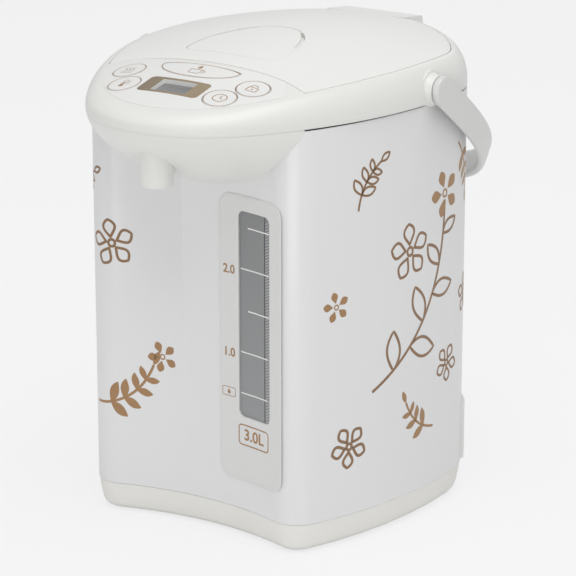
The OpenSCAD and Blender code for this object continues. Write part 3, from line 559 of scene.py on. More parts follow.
def dispense_outline(grow=0.0):
    """Half an ellipse in front, a shallow one behind."""
    w, back, front, bow = 27 + grow, 8.5 + grow, 9.5 + grow, 4
    made = [(w * cosd(a), back - bow + (front + back - bow) * sind(a)) for a in np.linspace(180, 360, 48)]
    return made + [(w * cosd(a), back - bow + bow * sind(a)) for a in np.linspace(0, 180, 48)[1:-1]]


def deck_cutters():
    """What the keys and the display take out of the deck and its film."""
    window = [(-13, -8.2), (13, -8.2), (13, 8.2), (-13, 8.2)]
    holes = [(circle(KEY_R + KEY_GAP), spot) for spot in ROUND_KEYS.values()]
    holes += [(dispense_outline(KEY_GAP), DISPENSE), (window, DISPLAY)]
    return [prism(outline, -8, 8, on_deck(spot)) for outline, spot in holes]


def make_top_housing():
    """One wall: up from the ledge under the lid, over the deck and the roll, and back inside."""
    soft = 0.45  # radius of the softened edges
    loops = [level(lid_outline(), LEDGE_Z)]
    loops += [deck_loop(0, drop, edge) for drop, edge in ((soft, 0), (0.13, 0.13), (0, soft))]
    loops += [deck_loop(f, 0, soft * (1 - f)) for f in np.linspace(0.06, 1, 14)]
    loops += [roll_loop(t) for t in np.linspace(0, 90, 19)[1:]]
    loops += [level(top_outline(grow), SHELL_TOP + rise)
              for grow, rise in ((0, soft), (-0.12, 0.13), (-0.4, 0), (-WALL, 0))]
    loops += [roll_loop(t, WALL) for t in (90, 75, 60, 45, 30, 15, 0)]
    loops += [deck_loop(0.5, WALL, LIP, 0.4), deck_loop(0, WALL, LIP), level(lid_outline(LIP), LEDGE_Z)]
    housing = loft("top_shell", loops, top_white, ring=True)
    half = HINGE_W / 2 + HINGE_GAP
    # the keys and the display, the hinge barrel's saddle and the space over it, the latch's slot, the pivots
    cutters = deck_cutters() + [
        across(HINGE_Y, HINGE_Z, -half, half, circle(HINGE_R + HINGE_GAP)),
        block((-half, HINGE_Y - 7, HINGE_Z), (half, HINGE_Y + 33, HINGE_Z + 30)),
        block((-8, -86, 269.3), (8, -74, 273.7))]
    cutters += [across(0, PIVOT_Z, side * 93, side * 113, circle(STUB_R + 0.05, 48)) for side in (-1, 1)]
    carve(housing, cutters)
    settle(housing, "pot", ("top_housing",))


def on_pivot(side):
    """Places a point of a turned profile on the handle's axis, at one side."""
    return lambda x, y, h: (side * h, x, PIVOT_Z + y)


def make_bosses():
    """Flared collars that carry the handle, and the hinge's ears."""
    for side, hand in EACH_SIDE:
        flare = [(8.9 + 2.5 * (1 - cosd(a)), 104.1 - 4.6 * sind(a)) for a in range(0, 91, 10)]
        profile = [(4.7, 104.5), (8.3, 104.5), (8.75, 104.35)] + flare + [(11.4, 97), (4.7, 97)]
        settle(revolve(hand + "_boss", profile, on_pivot(side), top_white), "pot")
        ear = block((side * 33.5 - 3.5, 88.2, 268), (side * 33.5 + 3.5, 94.4, 278.4))
        ear.name = hand + "_ear"
        ear.data.materials.append(top_white.material)
        rounded = ear.modifiers.new("round", "BEVEL")
        rounded.width, rounded.segments = 0.8 * MM, 3
        bake(ear)
        settle(ear, "pot")


make_top_housing()
make_bosses()


# ---- lid, lever and hinge
def lid_loop(share, drop=0.0, grow=-LID_GAP):
    return raised(towards(LID_FOCUS, share, lid_outline(grow)), drop)


def lid_hub(radius):
    """A round loop at the middle of the lid, with the lid outline's directions."""
    made = []
    for x, y in lid_outline():
        dx, dy = x - LID_FOCUS[0], y - LID_FOCUS[1]
        far = hypot(dx, dy)
        made.append((LID_FOCUS[0] + dx * radius / far, LID_FOCUS[1] + dy * radius / far))
    return raised(made)


def lid_wall(height):
    """The lid's wall at a share of its height; behind, it keeps to a circle round the hinge."""
    made = []
    for x, y in lid_outline(-LID_GAP):
        rise, near = dome(x, y) - HINGE_Z, HINGE_Y - y
        if y > 0:
            back = HINGE_Y - sqrt(near ** 2 + rise ** 2 * (1 - height ** 2))
        else:
            back = y + 0.8 * (1 - height)
        made.append((x * (1 - 0.008 * (1 - height)), back, HINGE_Z + rise * height))
    return made


LEVER_SPOT, LEVER_W, LEVER_BACK, LEVER_FRONT = (0, -54), 32.6, 49.6, 13


def lever_outline(grow, steps=160):
    """Half an ellipse behind, a squarer half in front."""
    made = []
    for i in range(steps):
        s, c = sind(360 * i / steps), cosd(360 * i / steps)
        if i < steps // 2:
            y = (LEVER_BACK + grow) * s
        else:
            c, y = power(c, 0.35), -(LEVER_FRONT + 1.8 * grow) * abs(s) ** 0.5
        made.append(((LEVER_W + grow) * c, LEVER_SPOT[1] + y))
    return made


def lever_loop(share, drop, grow=0.0):
    return raised(towards(LEVER_SPOT, share, lever_outline(grow)), drop)


def scoop(side):
    """Crescent at a rear edge of the lever, where a fingertip lifts it."""
    edge, out, deep, inner, thick = (26.3, -24.7), 25.7, 2.5, 60.0, 12
    centre = (edge[0] - cosd(out) * (inner + deep), edge[1] - sind(out) * (inner + deep))
    turns = np.linspace(out - 16, out + 16, 33)
    made = polar(centre, inner + thick, turns) + polar(centre, inner, turns[::-1])
    return [(side * x, y) for x, y in (made if side > 0 else made[::-1])]


def make_lid():
    loops = [lid_hub(4), lid_hub(12)] + [lid_loop(s) for s in np.linspace(0.2, 0.96, 14)]
    loops += [lid_loop(1, drop, grow - LID_GAP) for drop, grow in ((0, -0.3), (0.12, 0.12), (0.75, 0.18))]
    loops += [lid_wall(h) for h in (0.86, 0.7, 0.5, 0.25, 0)]
    loops.append([(x, y, LEDGE_Z + 0.4) for x, y, _ in lid_wall(0)])
    lid = loft("lid_shell", loops, lid_white)
    pocket = loft("cutter", [lever_loop(share, drop, grow) for share, drop, grow in (
        (1, -2, 0.25), (1, 3.8, 0.25), (0.5, 3.8, 0.5), (0.04, 3.8, 0.5))])
    # room for the lever's front, its tooth, the hinge barrel, and the latch slide with its bolt
    carve(lid, [pocket] + [block(low, high) for low, high in (
        ((-35, -75, 280.2), (35, -57.5, 284)), ((-4.6, -66, 268), (4.6, -53, 282)),
        ((-HINGE_W / 2, HINGE_Y - 6.5, 200), (HINGE_W / 2, HINGE_Y + 33.5, 320)),
        ((-10.4, -74, 269.7), (10.4, -46, 273.3)), ((-7.4, -92, 269.7), (7.4, -70, 273.3)))])
    settle(lid, "lid", ("lid_cover",))


def make_lever():
    loops = [lever_loop(s, 0) for s in (0.05, 0.3, 0.55, 0.8, 0.95)]
    loops += [lever_loop(1, 0.02, -0.4), lever_loop(1, 0.16, -0.06), lever_loop(1, 0.7)]
    loops += [lever_loop(s, 3) for s in (1, 0.5, 0.05)]
    lever = loft("lift_lever", loops, lid_white)
    hub = across(-62, 284.4, -14, 14, circle(2.8, 48))
    tooth = block((-4, -63.5, 271.4), (4, -60.5, 284.4))
    carve(lever, [hub, tooth], "UNION")
    carve(lever, [prism(scoop(side), 289.4, 294) for side in (-1, 1)])
    settle(lever, "lever", ("lid_lever",))


make_lid()
make_lever()


# ---- spout
NOZZLE_Y, NOZZLE_R, CHIN_BACK = -137, 9.6, -90


def chin_outline(grow):
    half = nose_half(grow, degrees(asin((CHIN_BACK - TOP_SIDE[1]) / (TOP_SIDE_R + grow))))
    return mirrored(half + [(half[-1][0] * 0.9, -82), (0, -82)])


def chin_loop(turn, inner=0.0):
    """A loop of the chin, which narrows and draws back from the seam (0) to its tip (90)."""
    u = sind(turn)
    deep = (1 - u ** 1.4) ** (1 / 1.4)
    z = SHELL_TOP + (1 if inner > 0 else 0) - (42 - inner) * u
    return [(x * cosd(turn), y if y > CHIN_BACK else CHIN_BACK + (y - CHIN_BACK) * deep, z)
            for x, y in chin_outline(-0.4 - inner)]


def make_spout():
    loops = [level(chin_outline(-0.4 - edge), SHELL_TOP - drop) for drop, edge in ((0, 0.35), (0.1, 0.1))]
    loops += [chin_loop(t) for t in np.concatenate(([1], np.linspace(4, 86, 36)))]
    chin = loft("spout_chin", loops, top_white)
    hollow = loft("cutter", [chin_loop(t, 2.2) for t in (0, 10, 20, 30, 40, 50, 60, 70, 78)])
    carve(chin, [hollow, prism(body_outline(), 200, SHELL_TOP + 2),
                 prism(circle(NOZZLE_R, centre=(0, NOZZLE_Y)), 200, 246.5)])
    settle(chin, "pot", ("spout_cover",))
    profile = [(4.5, 223.4), (4.9, 223.0)]
    profile += [(7.1 + 2.5 * sind(a), 225.5 - 2.5 * cosd(a)) for a in range(0, 91, 10)]
    profile += [(NOZZLE_R, 246.5), (4.5, 246.5)]
    nozzle = revolve("spout_nozzle_ring", profile, lambda x, y, h: (x, y + NOZZLE_Y, h), top_white)
    settle(nozzle, "pot", ("spout_nozzle",))


make_spout()


# ---- painted shell and gauge
def rounded_rect(x, w, z, r, steps=10, edge_steps=12):
    """Upright rectangle with round corners as (x, z) points, its straight edges divided too."""
    centres = ((x + w / 2 - r, z[0] + r, 270), (x + w / 2 - r, z[1] - r, 0),
               (x - w / 2 + r, z[1] - r, 90), (x - w / 2 + r, z[0] + r, 180))
    made = []
    for k, (cx, cz, start) in enumerate(centres):
        made += polar((cx, cz), r, [start + 90 * i / steps for i in range(steps + 1)])
        nx, nz, to = centres[(k + 1) % 4]
        (ax, az), (bx, bz) = made[-1], (nx + r * cosd(to), nz + r * sind(to))
        made += [(ax + (bx - ax) * i / edge_steps, az + (bz - az) * i / edge_steps)
                 for i in range(1, edge_steps)]
    return made


def on_face(x, z, grow=0.0):
    """Places a point on the hollow front face, grown outwards."""
    return x, FACE_CENTRE[1] + sqrt((FRONT_FACE_R - grow) ** 2 - x * x), z


GAUGE_X, GAUGE_W, GAUGE_Z = 38.5, 51, (37.5, 213.5)
GAUGE_HOLE = (GAUGE_X, GAUGE_W - 12, (43.5, 207.5), 6)
WINDOW_X, WINDOW_W, WINDOW_Z = 40.8, 25.5, (78, 204)
PLATE_LIFT = 0.6


def make_shell():
    rows = [(BASE_TOP + 0.2, -0.4), (BASE_TOP + 0.24, -0.15), (BASE_TOP + 0.45, 0), (SHELL_TOP - 1.2, 0),
            (SHELL_TOP - 0.95, -0.1), (SHELL_TOP - 0.88, -0.3), (SHELL_TOP - 0.88, -1), (BASE_TOP + 0.2, -1)]
    shell = loft("painted_shell", [level(body_outline(g), z) for z, g in rows], shell_white, ring=True)
    opening = loft("cutter", [[(x, y, z) for x, z in rounded_rect(*GAUGE_HOLE)] for y in (-130, -70)])
    socket = prism(turned(((38.7, -14), (68.7, -14), (68.7, 14), (38.7, 14)), 48, REAR_CORNER), 22, 43.5)
    notch = block((-14, -120, 239.5), (52, -60, 269.5))
    carve(shell, [opening, notch, socket])
    settle(shell, "pot", ("outer_shell",))


def make_gauge_plate():
    """A plate with soft edges round the window, which follows the hollow face."""
    def ring(x, w, z, r, inset, grow):
        return [on_face(a, b, grow) for a, b in
                rounded_rect(x, w - 2 * inset, (z[0] + inset, z[1] - inset), r - inset, 12)]
    outer, hole = (GAUGE_X, GAUGE_W, GAUGE_Z, 9), (WINDOW_X, WINDOW_W, WINDOW_Z, 4)
    loops = [ring(*outer, inset, grow)
             for inset, grow in ((0, 0.02), (0, 0.25), (0.15, 0.47), (0.5, PLATE_LIFT))]
    first, last = (GAUGE_X, GAUGE_W - 0.9, 37.95, 213.05, 8.55), (WINDOW_X, WINDOW_W + 0.8, 77.6, 204.4, 4.4)
    for share in (i / 8 for i in range(1, 8)):
        x, w, low, high, r = (a * (1 - share) + b * share for a, b in zip(first, last))
        loops.append(ring(x, w, (low, high), r, 0, PLATE_LIFT))
    loops += [ring(*hole, inset, grow)
              for inset, grow in ((-0.4, PLATE_LIFT), (-0.1, 0.5), (0, 0.3), (0, -2.6))]
    loops += [ring(*GAUGE_HOLE, 0, -2.6), ring(*GAUGE_HOLE, 0, 0.02)]
    settle(loft("gauge_plate", loops, plate_grey, ring=True), "pot", ("gauge_panel",))


make_shell()
make_gauge_plate()


# ---- deck film, keys and display
def make_film():
    reach = NOSE_STEPS + CORNER_STEPS - 4
    rows = [deck_loop(f, -SHEET_T) for f in np.linspace(0.06, 0.95, 15)]
    for end in (0, -1):
        rows[end] = [(x, y, z - 0.12) for x, y, z in rows[end]]
    rows += [deck_loop(f, -0.02) for f in (0.95, 0.06)]
    film = loft("deck_film", [[row[i] for row in rows] for i in range(-reach, reach + 1)], film_white)
    carve(film, deck_cutters())
    settle(film, "pot", ("control_sheet",))


def key_point(spot, lift):
    """Places a point of a key's face on the dome above the film."""
    def place(x, y):
        a, b = spot[0] + x, spot[1] + y * cosd(DECK_TILT)
        return a, b, dome(a, b) + SHEET_T + lift
    return place


def make_key(name, spot, outline):
    """A key whose face follows the dome and whose skirt goes square into the deck."""
    face, under = key_point(spot, 0.15), on_deck(spot)

    def ring(share, sink=0.0, inset=0.0):
        spots = (face(a * share, b * share) for a, b in outline(-inset))
        return [(x, y, z - sink) for x, y, z in spots]
    loops = [ring(s) for s in (0.06, 0.35, 0.65, 0.9)]
    loops += [ring(1, 0.03, 0.45), ring(1, 0.16, 0.12), ring(1, 0.5)]
    loops += [[under(x, y, z) for x, y in outline(grow)]
              for grow, z in ((0, -4.8), (0.5, -4.8), (0.5, -5.8))]
    settle(loft(name + "_button", loops, key_white), name, (name + "_key",))


def make_display():
    """A surround on the film, the well below it and the glass in the well."""
    place, rise = on_deck(DISPLAY), 0.6

    def outline(w, d, r):
        return rounded_rect(0, w, (-d / 2, d / 2), r, 8, 6)

    def proud(w, d, r, lift):
        spots = (place(x, y) for x, y in outline(w, d, r))
        return [(a, b, dome(a, b) + lift) for a, b, _ in spots]

    def sunk(w, d, r, depth):
        return [place(x, y, -depth) for x, y in outline(w, d, r)]
    surround = loft("display_surround", [proud(*row) for row in (
        (42, 18.6, 3, SHEET_T + 0.02), (42, 18.6, 3, rise - 0.12), (41.7, 18.3, 2.9, rise),
        (35, 17.2, 2, rise), (28, 15.6, 0.8, rise), (24.4, 14.8, 0.5, rise),
        (24, 14.4, 0.4, rise - 0.15), (24, 14.4, 0.4, SHEET_T))], bronze, ring=True)
    settle(surround, "pot", ("display_frame",))
    well = [proud(24, 14.4, 0.4, SHEET_T - 0.02), sunk(23.6, 14.0, 0.4, 1.6), sunk(22.6, 13.0, 0.4, 3.95),
            sunk(26, 16.4, 0.4, 3.95), proud(26, 16.4, 0.4, SHEET_T - 0.02)]
    settle(loft("display_well", well, film_white, ring=True), "pot")
    glass = loft("display_cover", [sunk(w, d, 0.3, depth) for w, d, depth in (
        (22.7, 13.1, 3.9), (23.2, 13.6, 2.2), (23.0, 13.4, 2.15), (9, 5, 2.15))], display_grey)
    settle(glass, "pot")


make_film()
for name, spot in ROUND_KEYS.items():
    make_key(name, spot, lambda grow: circle(KEY_R + grow))
make_key("dispense", DISPENSE, dispense_outline)
make_display()


# ---- handle
HANDLE_X, HANDLE_REACH, HANDLE_T, HANDLE_HALF, HANDLE_DIP = 107.2, 139.5, 4.6, 9, 35


def band_point(turn):
    return HANDLE_X * max(cosd(turn), 0) ** 0.72, HANDLE_REACH * sind(turn) ** 0.72


def handle_place(x, y, v):
    """From the handle's own plane to where it hangs, HANDLE_DIP degrees below the horizontal."""
    return (x, y * cosd(HANDLE_DIP) + v * sind(HANDLE_DIP),
            PIVOT_Z - y * sind(HANDLE_DIP) + v * cosd(HANDLE_DIP))


def make_handle():
    turns = np.concatenate((np.linspace(0, 12, 12) ** 2 / 12, np.linspace(14, 90, 48)))
    half = [band_point(t) for t in turns]
    path = half + [(-x, y) for x, y in half[-2::-1]]
    # along the band: place, direction, thickness and share of the full width
    band = []
    for a, (x, y), b in neighbours(path):
        dx, dy = b[0] - a[0], b[1] - a[1]
        far = hypot(dx, dy)
        band.append((x, y, dx / far, dy / far, HANDLE_T + 3.4 * (y / HANDLE_REACH) ** 6, 1.0))
    tip = [(-HANDLE_HALF * sind(t), HANDLE_T - 1.6 * (1 - cosd(t)) ** 2, cosd(t))
           for t in (80, 68, 56, 44, 32, 20, 10)]
    right = [(HANDLE_X, y, 0, 1, thick, width) for y, thick, width in tip]
    left = [(-HANDLE_X, y, 0, -1, thick, width) for y, thick, width in reversed(tip)]
    sections = []
    for x, y, dx, dy, thick, width in right + band + left:
        section = []
        for turn in range(0, 360, 9):
            u, v = thick / 2 * power(cosd(turn), 0.55), HANDLE_HALF * width * power(sind(turn), 0.5)
            section.append(handle_place(x + dy * u, y - dx * u, v))
        sections.append(section)
    settle(loft("carrying_handle", sections, handle_white), "bail", ("handle",), crease=50)
    for side, hand in EACH_SIDE:
        profile = [(0.2, 93.3), (4.3, 93.3), (STUB_R, 93.5), (STUB_R, 106), (0.2, 106)]
        stub = revolve(hand + "_stub", profile, on_pivot(side), handle_white, 48)
        settle(stub, "bail")


make_handle()


# ---- prints
class Print:
    """Flat printed shapes, gathered in their own plane and then laid on a surface."""

    def __init__(self):
        self.points, self.faces = [], []

    def strip(self, left, right, steps=1):
        """Fills the space between two edges, with a number of steps across."""
        start, n = len(self.points), steps + 1
        for a, b in zip(left, right):
            dx, dy = b[0] - a[0], b[1] - a[1]
            self.points += [(a[0] + dx * k / steps, a[1] + dy * k / steps) for k in range(n)]
        corners = [start + i * n + k for i in range(len(left) - 1) for k in range(steps)]
        self.faces += [(c, c + 1, c + n + 1, c + n) for c in corners]
        return self

    def line(self, path, width, closed=False):
        left, right = [], []
        for a, (x, y), b in neighbours(path, closed):
            dx, dy = b[0] - a[0], b[1] - a[1]
            far = hypot(dx, dy) or 1.0
            nx, ny = -dy / far * width / 2, dx / far * width / 2
            left.append((x + nx, y + ny))
            right.append((x - nx, y - ny))
        return self.strip(left, right)

    def disc(self, centre, radius, steps=24):
        half = polar(centre, radius, np.linspace(90, 270, steps))
        return self.strip(half, [(2 * centre[0] - x, y) for x, y in half], 3)

    def ring(self, centre, radius, width, steps=48, start=0, end=360):
        path = polar(centre, radius, np.linspace(start, end, steps))
        if end - start >= 360:
            return self.line(path[:-1], width, closed=True)
        return self.line(path, width)

    def figures(self, text, size, at):
        """Plain figures, centred on a spot."""
        curve = bpy.data.curves.new("figures", "FONT")
        curve.body, curve.size, curve.align_x, curve.align_y = text, size, "CENTER", "CENTER"
        curve.offset = 0.024 * size
        holder = add_object("figures", curve)
        start, mesh = len(self.points), shaped(holder)
        self.points += [(at[0] + v.co.x, at[1] + v.co.y) for v in mesh.vertices]
        self.faces += [tuple(start + i for i in p.vertices) for p in mesh.polygons]
        bpy.data.objects.remove(holder)

    def leaf(self, at, turn, length, fat=0.2, bend=0.0, line=None, wide=1.0):
        """A leaf that grows from a spot: solid, or in outline where a line width is given."""
        left, right, steps = [], [], 16
        for i in range(steps + 1):
            t = i / steps
            half = fat * length * sin(pi * t ** wide) ** 0.85 if 0 < t < 1 else 0.0
            middle = bend * length * sin(pi * t / 2) ** 2
            left.append((middle - half, length * t))
            right.append((middle + half, length * t))
        left, right = turned(left, turn, at), turned(right, turn, at)
        if line:
            return self.line(left + right[-2:0:-1], line, closed=True)
        return self.strip(left, right, 4)

    def blossom(self, at, radius, turn=0, line=None):
        for way in (turn + 72 * k for k in range(5)):
            foot = (at[0] - radius * 0.24 * sind(way), at[1] + radius * 0.24 * cosd(way))
            self.leaf(foot, way, radius * 0.76, 0.36 if line else 0.33, 0, line, 0.72 ** -1)
        self.ring(at, radius * 0.15, line or radius * 0.09, 20)

    def sprig(self, start, end, sag, pairs, leaf, width, line=None):
        """A bowed stem with pairs of leaves that grow smaller, and one leaf at its end."""
        fat = 0.24 if line else 0.22
        stem = curve_path(start, end, sag)
        self.line(stem, width)
        for k in range(pairs):
            i = int((k + 1.2) * (len(stem) - 3) / (pairs + 0.8))
            way, size = heading(stem[i + 1], stem[i]) - 90, leaf * (1 - 0.32 * k / max(pairs - 1, 1))
            for side in (-1, 1):
                self.leaf(stem[i], way + side * 48, size, fat, -side * 0.10, line)
        self.leaf(stem[-1], heading(stem[-1], stem[-2]) - 90, leaf * 0.72, fat, 0, line)

    def lay(self, name, place, finish, body, slot):
        piece = mesh_object(name, [place(*p) for p in self.points], self.faces, finish, closed=False)
        return settle(piece, body, crease=60)


def curve_path(start, end, sag, steps=28):
    """A stem that bows to its left by a share of its length."""
    (x0, y0), (x1, y1) = start, end
    return [(x0 + (x1 - x0) * t - (y1 - y0) * sag * 4 * t * (1 - t),
             y0 + (y1 - y0) * t + (x1 - x0) * sag * 4 * t * (1 - t))
            for t in (i / steps for i in range(steps + 1))]


half_outline = np.array(body_half(0.05))
half_length = np.concatenate(([0.0], np.cumsum(np.linalg.norm(np.diff(half_outline, axis=0), axis=1))))


def on_shell(s, z):
    """Places a point that lies s round the shell from the middle of its front, at height z."""
    x, y = (float(np.interp(abs(s), half_length, half_outline[:, i])) for i in (0, 1))
    return copysign(x, s), y, z


def make_artwork():
    """Leaf sprigs and open blossoms, some in outline and some solid."""
    bold, fine = 1.9, 1.4
    thin, solid = Print(), Print()
    # the large branch on the right side
    stem = curve_path((128, 92), (196, 196), -0.16)
    thin.line(stem, 2.0)
    for i, side, size in ((4, 1, 24), (8, -1, 25), (12, 1, 24), (16, -1, 22), (20, 1, 19), (24, -1, 16)):
        thin.leaf(stem[i], heading(stem[i + 1], stem[i]) - 90 + side * 52, size, 0.24, -side * 0.08, bold)
    solid.blossom((196, 200), 15, 20)
    thin.blossom((160, 172), 17, 5, 1.8)
    thin.blossom((201, 92), 11.5, 40, 1.6)
    # scattered motifs on the right side and round the rear
    thin.sprig((116, 205), (134, 232), 0.12, 3, 11, 1.5, fine)
    solid.blossom((100, 150), 9.5, 12)
    solid.sprig((186, 56), (158, 78), 0.14, 3, 12, 1.6)
    thin.blossom((110, 62), 13, 30, bold)
    solid.sprig((212, 228), (226, 196), 0.1, 3, 12, 1.5)
    thin.blossom((228, 130), 12, 0, bold)
    thin.sprig((236, 60), (250, 96), -0.12, 3, 12, 1.5, fine)
    solid.blossom((262, 170), 12, 8)
    solid.sprig((286, 60), (296, 108), 0.14, 4, 13, 1.6)
    thin.blossom((306, 208), 16, 20, 1.7)
    thin.sprig((330, 130), (340, 172), -0.1, 3, 12, 1.5, fine)
    # the front, left of the gauge
    solid.sprig((-74, 70), (-34, 98), -0.16, 4, 14, 1.7)
    solid.blossom((-28, 104), 10, 24)
    thin.blossom((-60, 172), 14.5, 10, 1.7)
    thin.sprig((-92, 196), (-74, 214), 0.1, 2, 10, 1.5, fine)
    # the left side
    thin.sprig((-126, 84), (-150, 150), 0.16, 5, 17, 1.8, bold)
    solid.blossom((-148, 184), 11, 4)
    thin.blossom((-118, 190), 13, 26, bold)
    solid.sprig((-190, 214), (-176, 176), 0.12, 3, 12, 1.5)
    thin.blossom((-196, 96), 16, 14, 1.7)
    solid.blossom((-230, 150), 11, 0)
    thin.sprig((-262, 60), (-250, 112), -0.14, 4, 13, 1.5, fine)
    thin.blossom((-276, 204), 14, 9, bold)
    solid.sprig((-318, 100), (-306, 146), 0.12, 4, 13, 1.6)
    thin.lay("shell_print_outlines", on_shell, print_brown, "pot", "shell_paint")
    solid.lay("shell_print_solids", on_shell, print_bronze, "pot", "shell_paint")


def make_gauge_print():
    """Level lines and a rule on the window, figures and boxes on the plate."""
    def on_window(x, z):
        return on_face(x, z, -0.55)

    def on_plate(x, z):
        return on_face(x, z, PLATE_LIFT + 0.05)
    pale, dark, brown = Print(), Print(), Print()
    for z, x0 in ((194, 34), (168.8, 29), (143.6, 34), (117.8, 29), (92.3, 29)):
        pale.line([(x0, z), (41, z), (53, z)], 0.8)
    dark.line([(48.7, z) for z in np.linspace(78.6, 203.4, 12)], 0.7)
    pale.lay("level_lines", on_window, print_pale, "pot", "gauge_plate")
    dark.lay("level_rule", on_window, print_dark, "pot", "gauge_plate")
    brown.figures("2.0", 7.4, (20.7, 167))
    brown.figures("1.0", 7.4, (20.7, 116))
    brown.figures("3.0L", 9.6, (40.2, 66.8))
    brown.line(rounded_rect(40.2, 24.3, (60.6, 73.0), 2.2, 5), 0.8, closed=True)
    brown.line(rounded_rect(20.3, 9.8, (88.8, 94.2), 1.0, 3), 0.4, closed=True)
    brown.leaf((20.3, 89.9), 0, 3.2, 0.34, wide=0.7)
    brown.lay("gauge_figures", on_plate, print_bronze, "pot", "gauge_plate")


def hatching():
    """A column of copies of a flat bar, made real."""
    tree, given, result = node_tree("hatching", ("Bars", "Int"), ("Pitch", "Float"), ("Finish", "Material"))
    add = tree.nodes.new
    column, rise = add("GeometryNodeMeshLine"), add("ShaderNodeCombineXYZ")
    copies = add("GeometryNodeInstanceOnPoints")
    real, paint = add("GeometryNodeRealizeInstances"), add("GeometryNodeSetMaterial")
    for source, target in (
            (given["Bars"], column.inputs["Count"]), (given["Pitch"], rise.inputs["Z"]),
            (rise.outputs[0], column.inputs["Offset"]), (column.outputs[0], copies.inputs["Points"]),
            (given["Geometry"], copies.inputs["Instance"]), (copies.outputs[0], real.inputs[0]),
            (real.outputs[0], paint.inputs["Geometry"]), (given["Finish"], paint.inputs["Material"]),
            (paint.outputs[0], result["Geometry"])):
        tree.links.new(source, target)
    return tree


def make_hatching():
    """Slanted bars beside the gauge tube."""
    bar = [on_face(x, z, -0.5) for x, z in ((49.4, 78.2), (54, 80.6), (54, 81.5), (49.4, 79.1))]
    piece = mesh_object("gauge_hatching", bar, [(0, 1, 2, 3)], print_grey, closed=False)
    add_tree(piece, "repeat", hatching(), {"Bars": 68, "Pitch": 1.8 * MM, "Finish": print_grey.material})
    bake(piece)
    settle(piece, "pot")


def make_key_prints():
    """Bronze rings and plain signs on the keys: cup, lock, clock, boiling water, thermometer."""
    signs = {name: Print().ring((0, 0), KEY_R - 0.45, 0.36, 72) for name in ROUND_KEYS}
    sign = signs["unlock"]
    sign.line(rounded_rect(0, 6.4, (-3.6, 1.2), 0.8, 3), 0.6, closed=True)
    sign.ring((-0.3, 1.6), 2.2, 0.6, 20, 20, 180)
    sign.disc((0, -1.2), 0.65, 8)
    sign = signs["timer"]
    sign.ring((0, 0), 4.2, 0.6, 40)
    sign.line([(0, 2.8), (0, 0), (2.1, -1.2)], 0.6)
    sign = signs["reboil"]
    sign.line([(-4.2, -3.4), (4.2, -3.4)], 0.6)
    for x in (-2.6, 0, 2.6):
        sign.line([(x + 0.7 * sind(a), -1.8 + 5.4 * a / 360) for a in range(0, 361, 30)], 0.55)
    sign = signs["temperature"]
    sign.disc((-0.6, -2.9), 1.5, 12)
    sign.line([(-0.6, -2.4), (-0.6, 1.6)], 0.8)
    sign.line(rounded_rect(-0.6, 2.4, (-1.8, 4.4), 1.15, 4), 0.4, closed=True)
    for y in (0, 1.5, 3):
        sign.line([(1.6, y), (3.1, y)], 0.45)
    sign = signs["dispense"] = Print().line(dispense_outline(-0.5), 0.48, closed=True)
    sign.line([(-4.6, 0.4), (-3.6, -4.6), (3.0, -4.6), (4.0, 0.4)], 0.6).line([(-4.6, 0.4), (4.0, 0.4)], 0.6)
    sign.ring((4.3, -1.8), 1.7, 0.5, 14, -90, 90)
    sign.leaf((-0.3, 1.6), 0, 4.6, 0.3, wide=0.7)
    for name, sign in signs.items():
        place = key_point(ROUND_KEYS.get(name, DISPENSE), 0.19)
        sign.lay(name + "_sign", place, print_bronze, name, "key_plastic")


make_artwork()
make_gauge_print()
make_hatching()
make_key_prints()


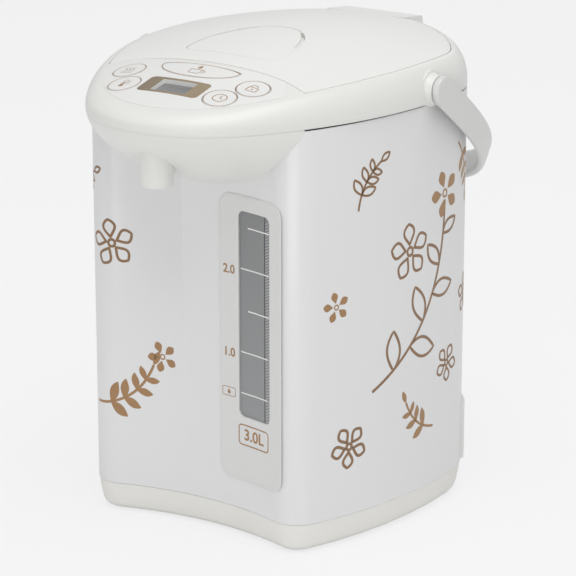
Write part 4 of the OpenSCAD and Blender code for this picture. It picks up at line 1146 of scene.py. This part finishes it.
# ---- floor, light and camera
def make_floor():
    """A matt floor that the camera sees as an almost white one, also through the gauge window."""
    mesh = bpy.data.meshes.new("floor")
    mesh.from_pydata([(-8, -3, 0), (8, -3, 0), (8, 12, 0), (-8, 12, 0)], [], [(0, 1, 2, 3)])
    surface = add_object("floor", mesh)
    pale = Finish("pale_floor", (0.90, 0.90, 0.90), 0.9, Specular_IOR_Level=0.0)
    painted_highlight = Field(pale, pale.surface.outputs[0])
    glow = pale.field("ShaderNodeEmission", {"Color": (0.936, 0.936, 0.940, 1.0), "Strength": 1.0})
    seen = pale.node("ShaderNodeLightPath").outputs
    direct = Field(pale, seen["Is Camera Ray"]).maths("MAXIMUM", Field(pale, seen["Is Transmission Ray"]))
    out = next(n for n in pale.tree.nodes if n.type == "OUTPUT_MATERIAL")
    pale.feed(out.inputs["Surface"], pale.field("ShaderNodeMixShader", {0: direct * 0.8, 1: painted_highlight, 2: glow}))
    mesh.materials.append(pale.material)


def put_facing(thing, place, back):
    """Places a lamp or camera so that it looks away from the direction of its back."""
    thing.location = place
    thing.rotation_mode = "QUATERNION"
    thing.rotation_quaternion = back.to_track_quat("Z", "Y")


def make_lights():
    world = bpy.data.worlds.new("studio")
    bpy.context.scene.world = world
    world.use_nodes = True
    sky = next(n for n in world.node_tree.nodes if n.type == "BACKGROUND")
    sky.inputs["Color"].default_value = (1.0, 1.0, 1.0, 1.0)
    sky.inputs["Strength"].default_value = 0.56
    target = Vector((0.0, 0.0, 0.16))
    for name, place, size, watts in (
            ("front_softbox", (0.6, -2.2, 0.3), (1.6, 0.6), 6.5),
            ("top_softbox", (0.5, -0.45, 2.15), (1.8, 1.8), 22),
            ("rear_softbox", (-0.7, 1.8, 1.4), (1.2, 0.9), 1.5)):
        lamp = bpy.data.lights.new(name, "AREA")
        lamp.shape, lamp.size, lamp.size_y = "RECTANGLE", *size
        lamp.energy = watts
        put_facing(add_object(name, lamp), Vector(place), Vector(place) - target)


def make_camera():
    turn, tilt, far = radians(33.62), radians(16.99), 1.9037
    aim = Vector((-67.43, 99.22 + BACK, 90.83)) * MM
    back = Vector((sin(turn) * cos(tilt), -cos(turn) * cos(tilt), sin(tilt)))
    camera = add_object("camera", bpy.data.cameras.new("camera"))
    camera.data.lens, camera.data.sensor_width = 179.66, 36.0
    put_facing(camera, aim + back * far, back)
    bpy.context.scene.camera = camera


make_floor()
make_lights()
make_camera()
bpy.context.scene.view_settings.view_transform = "Standard"
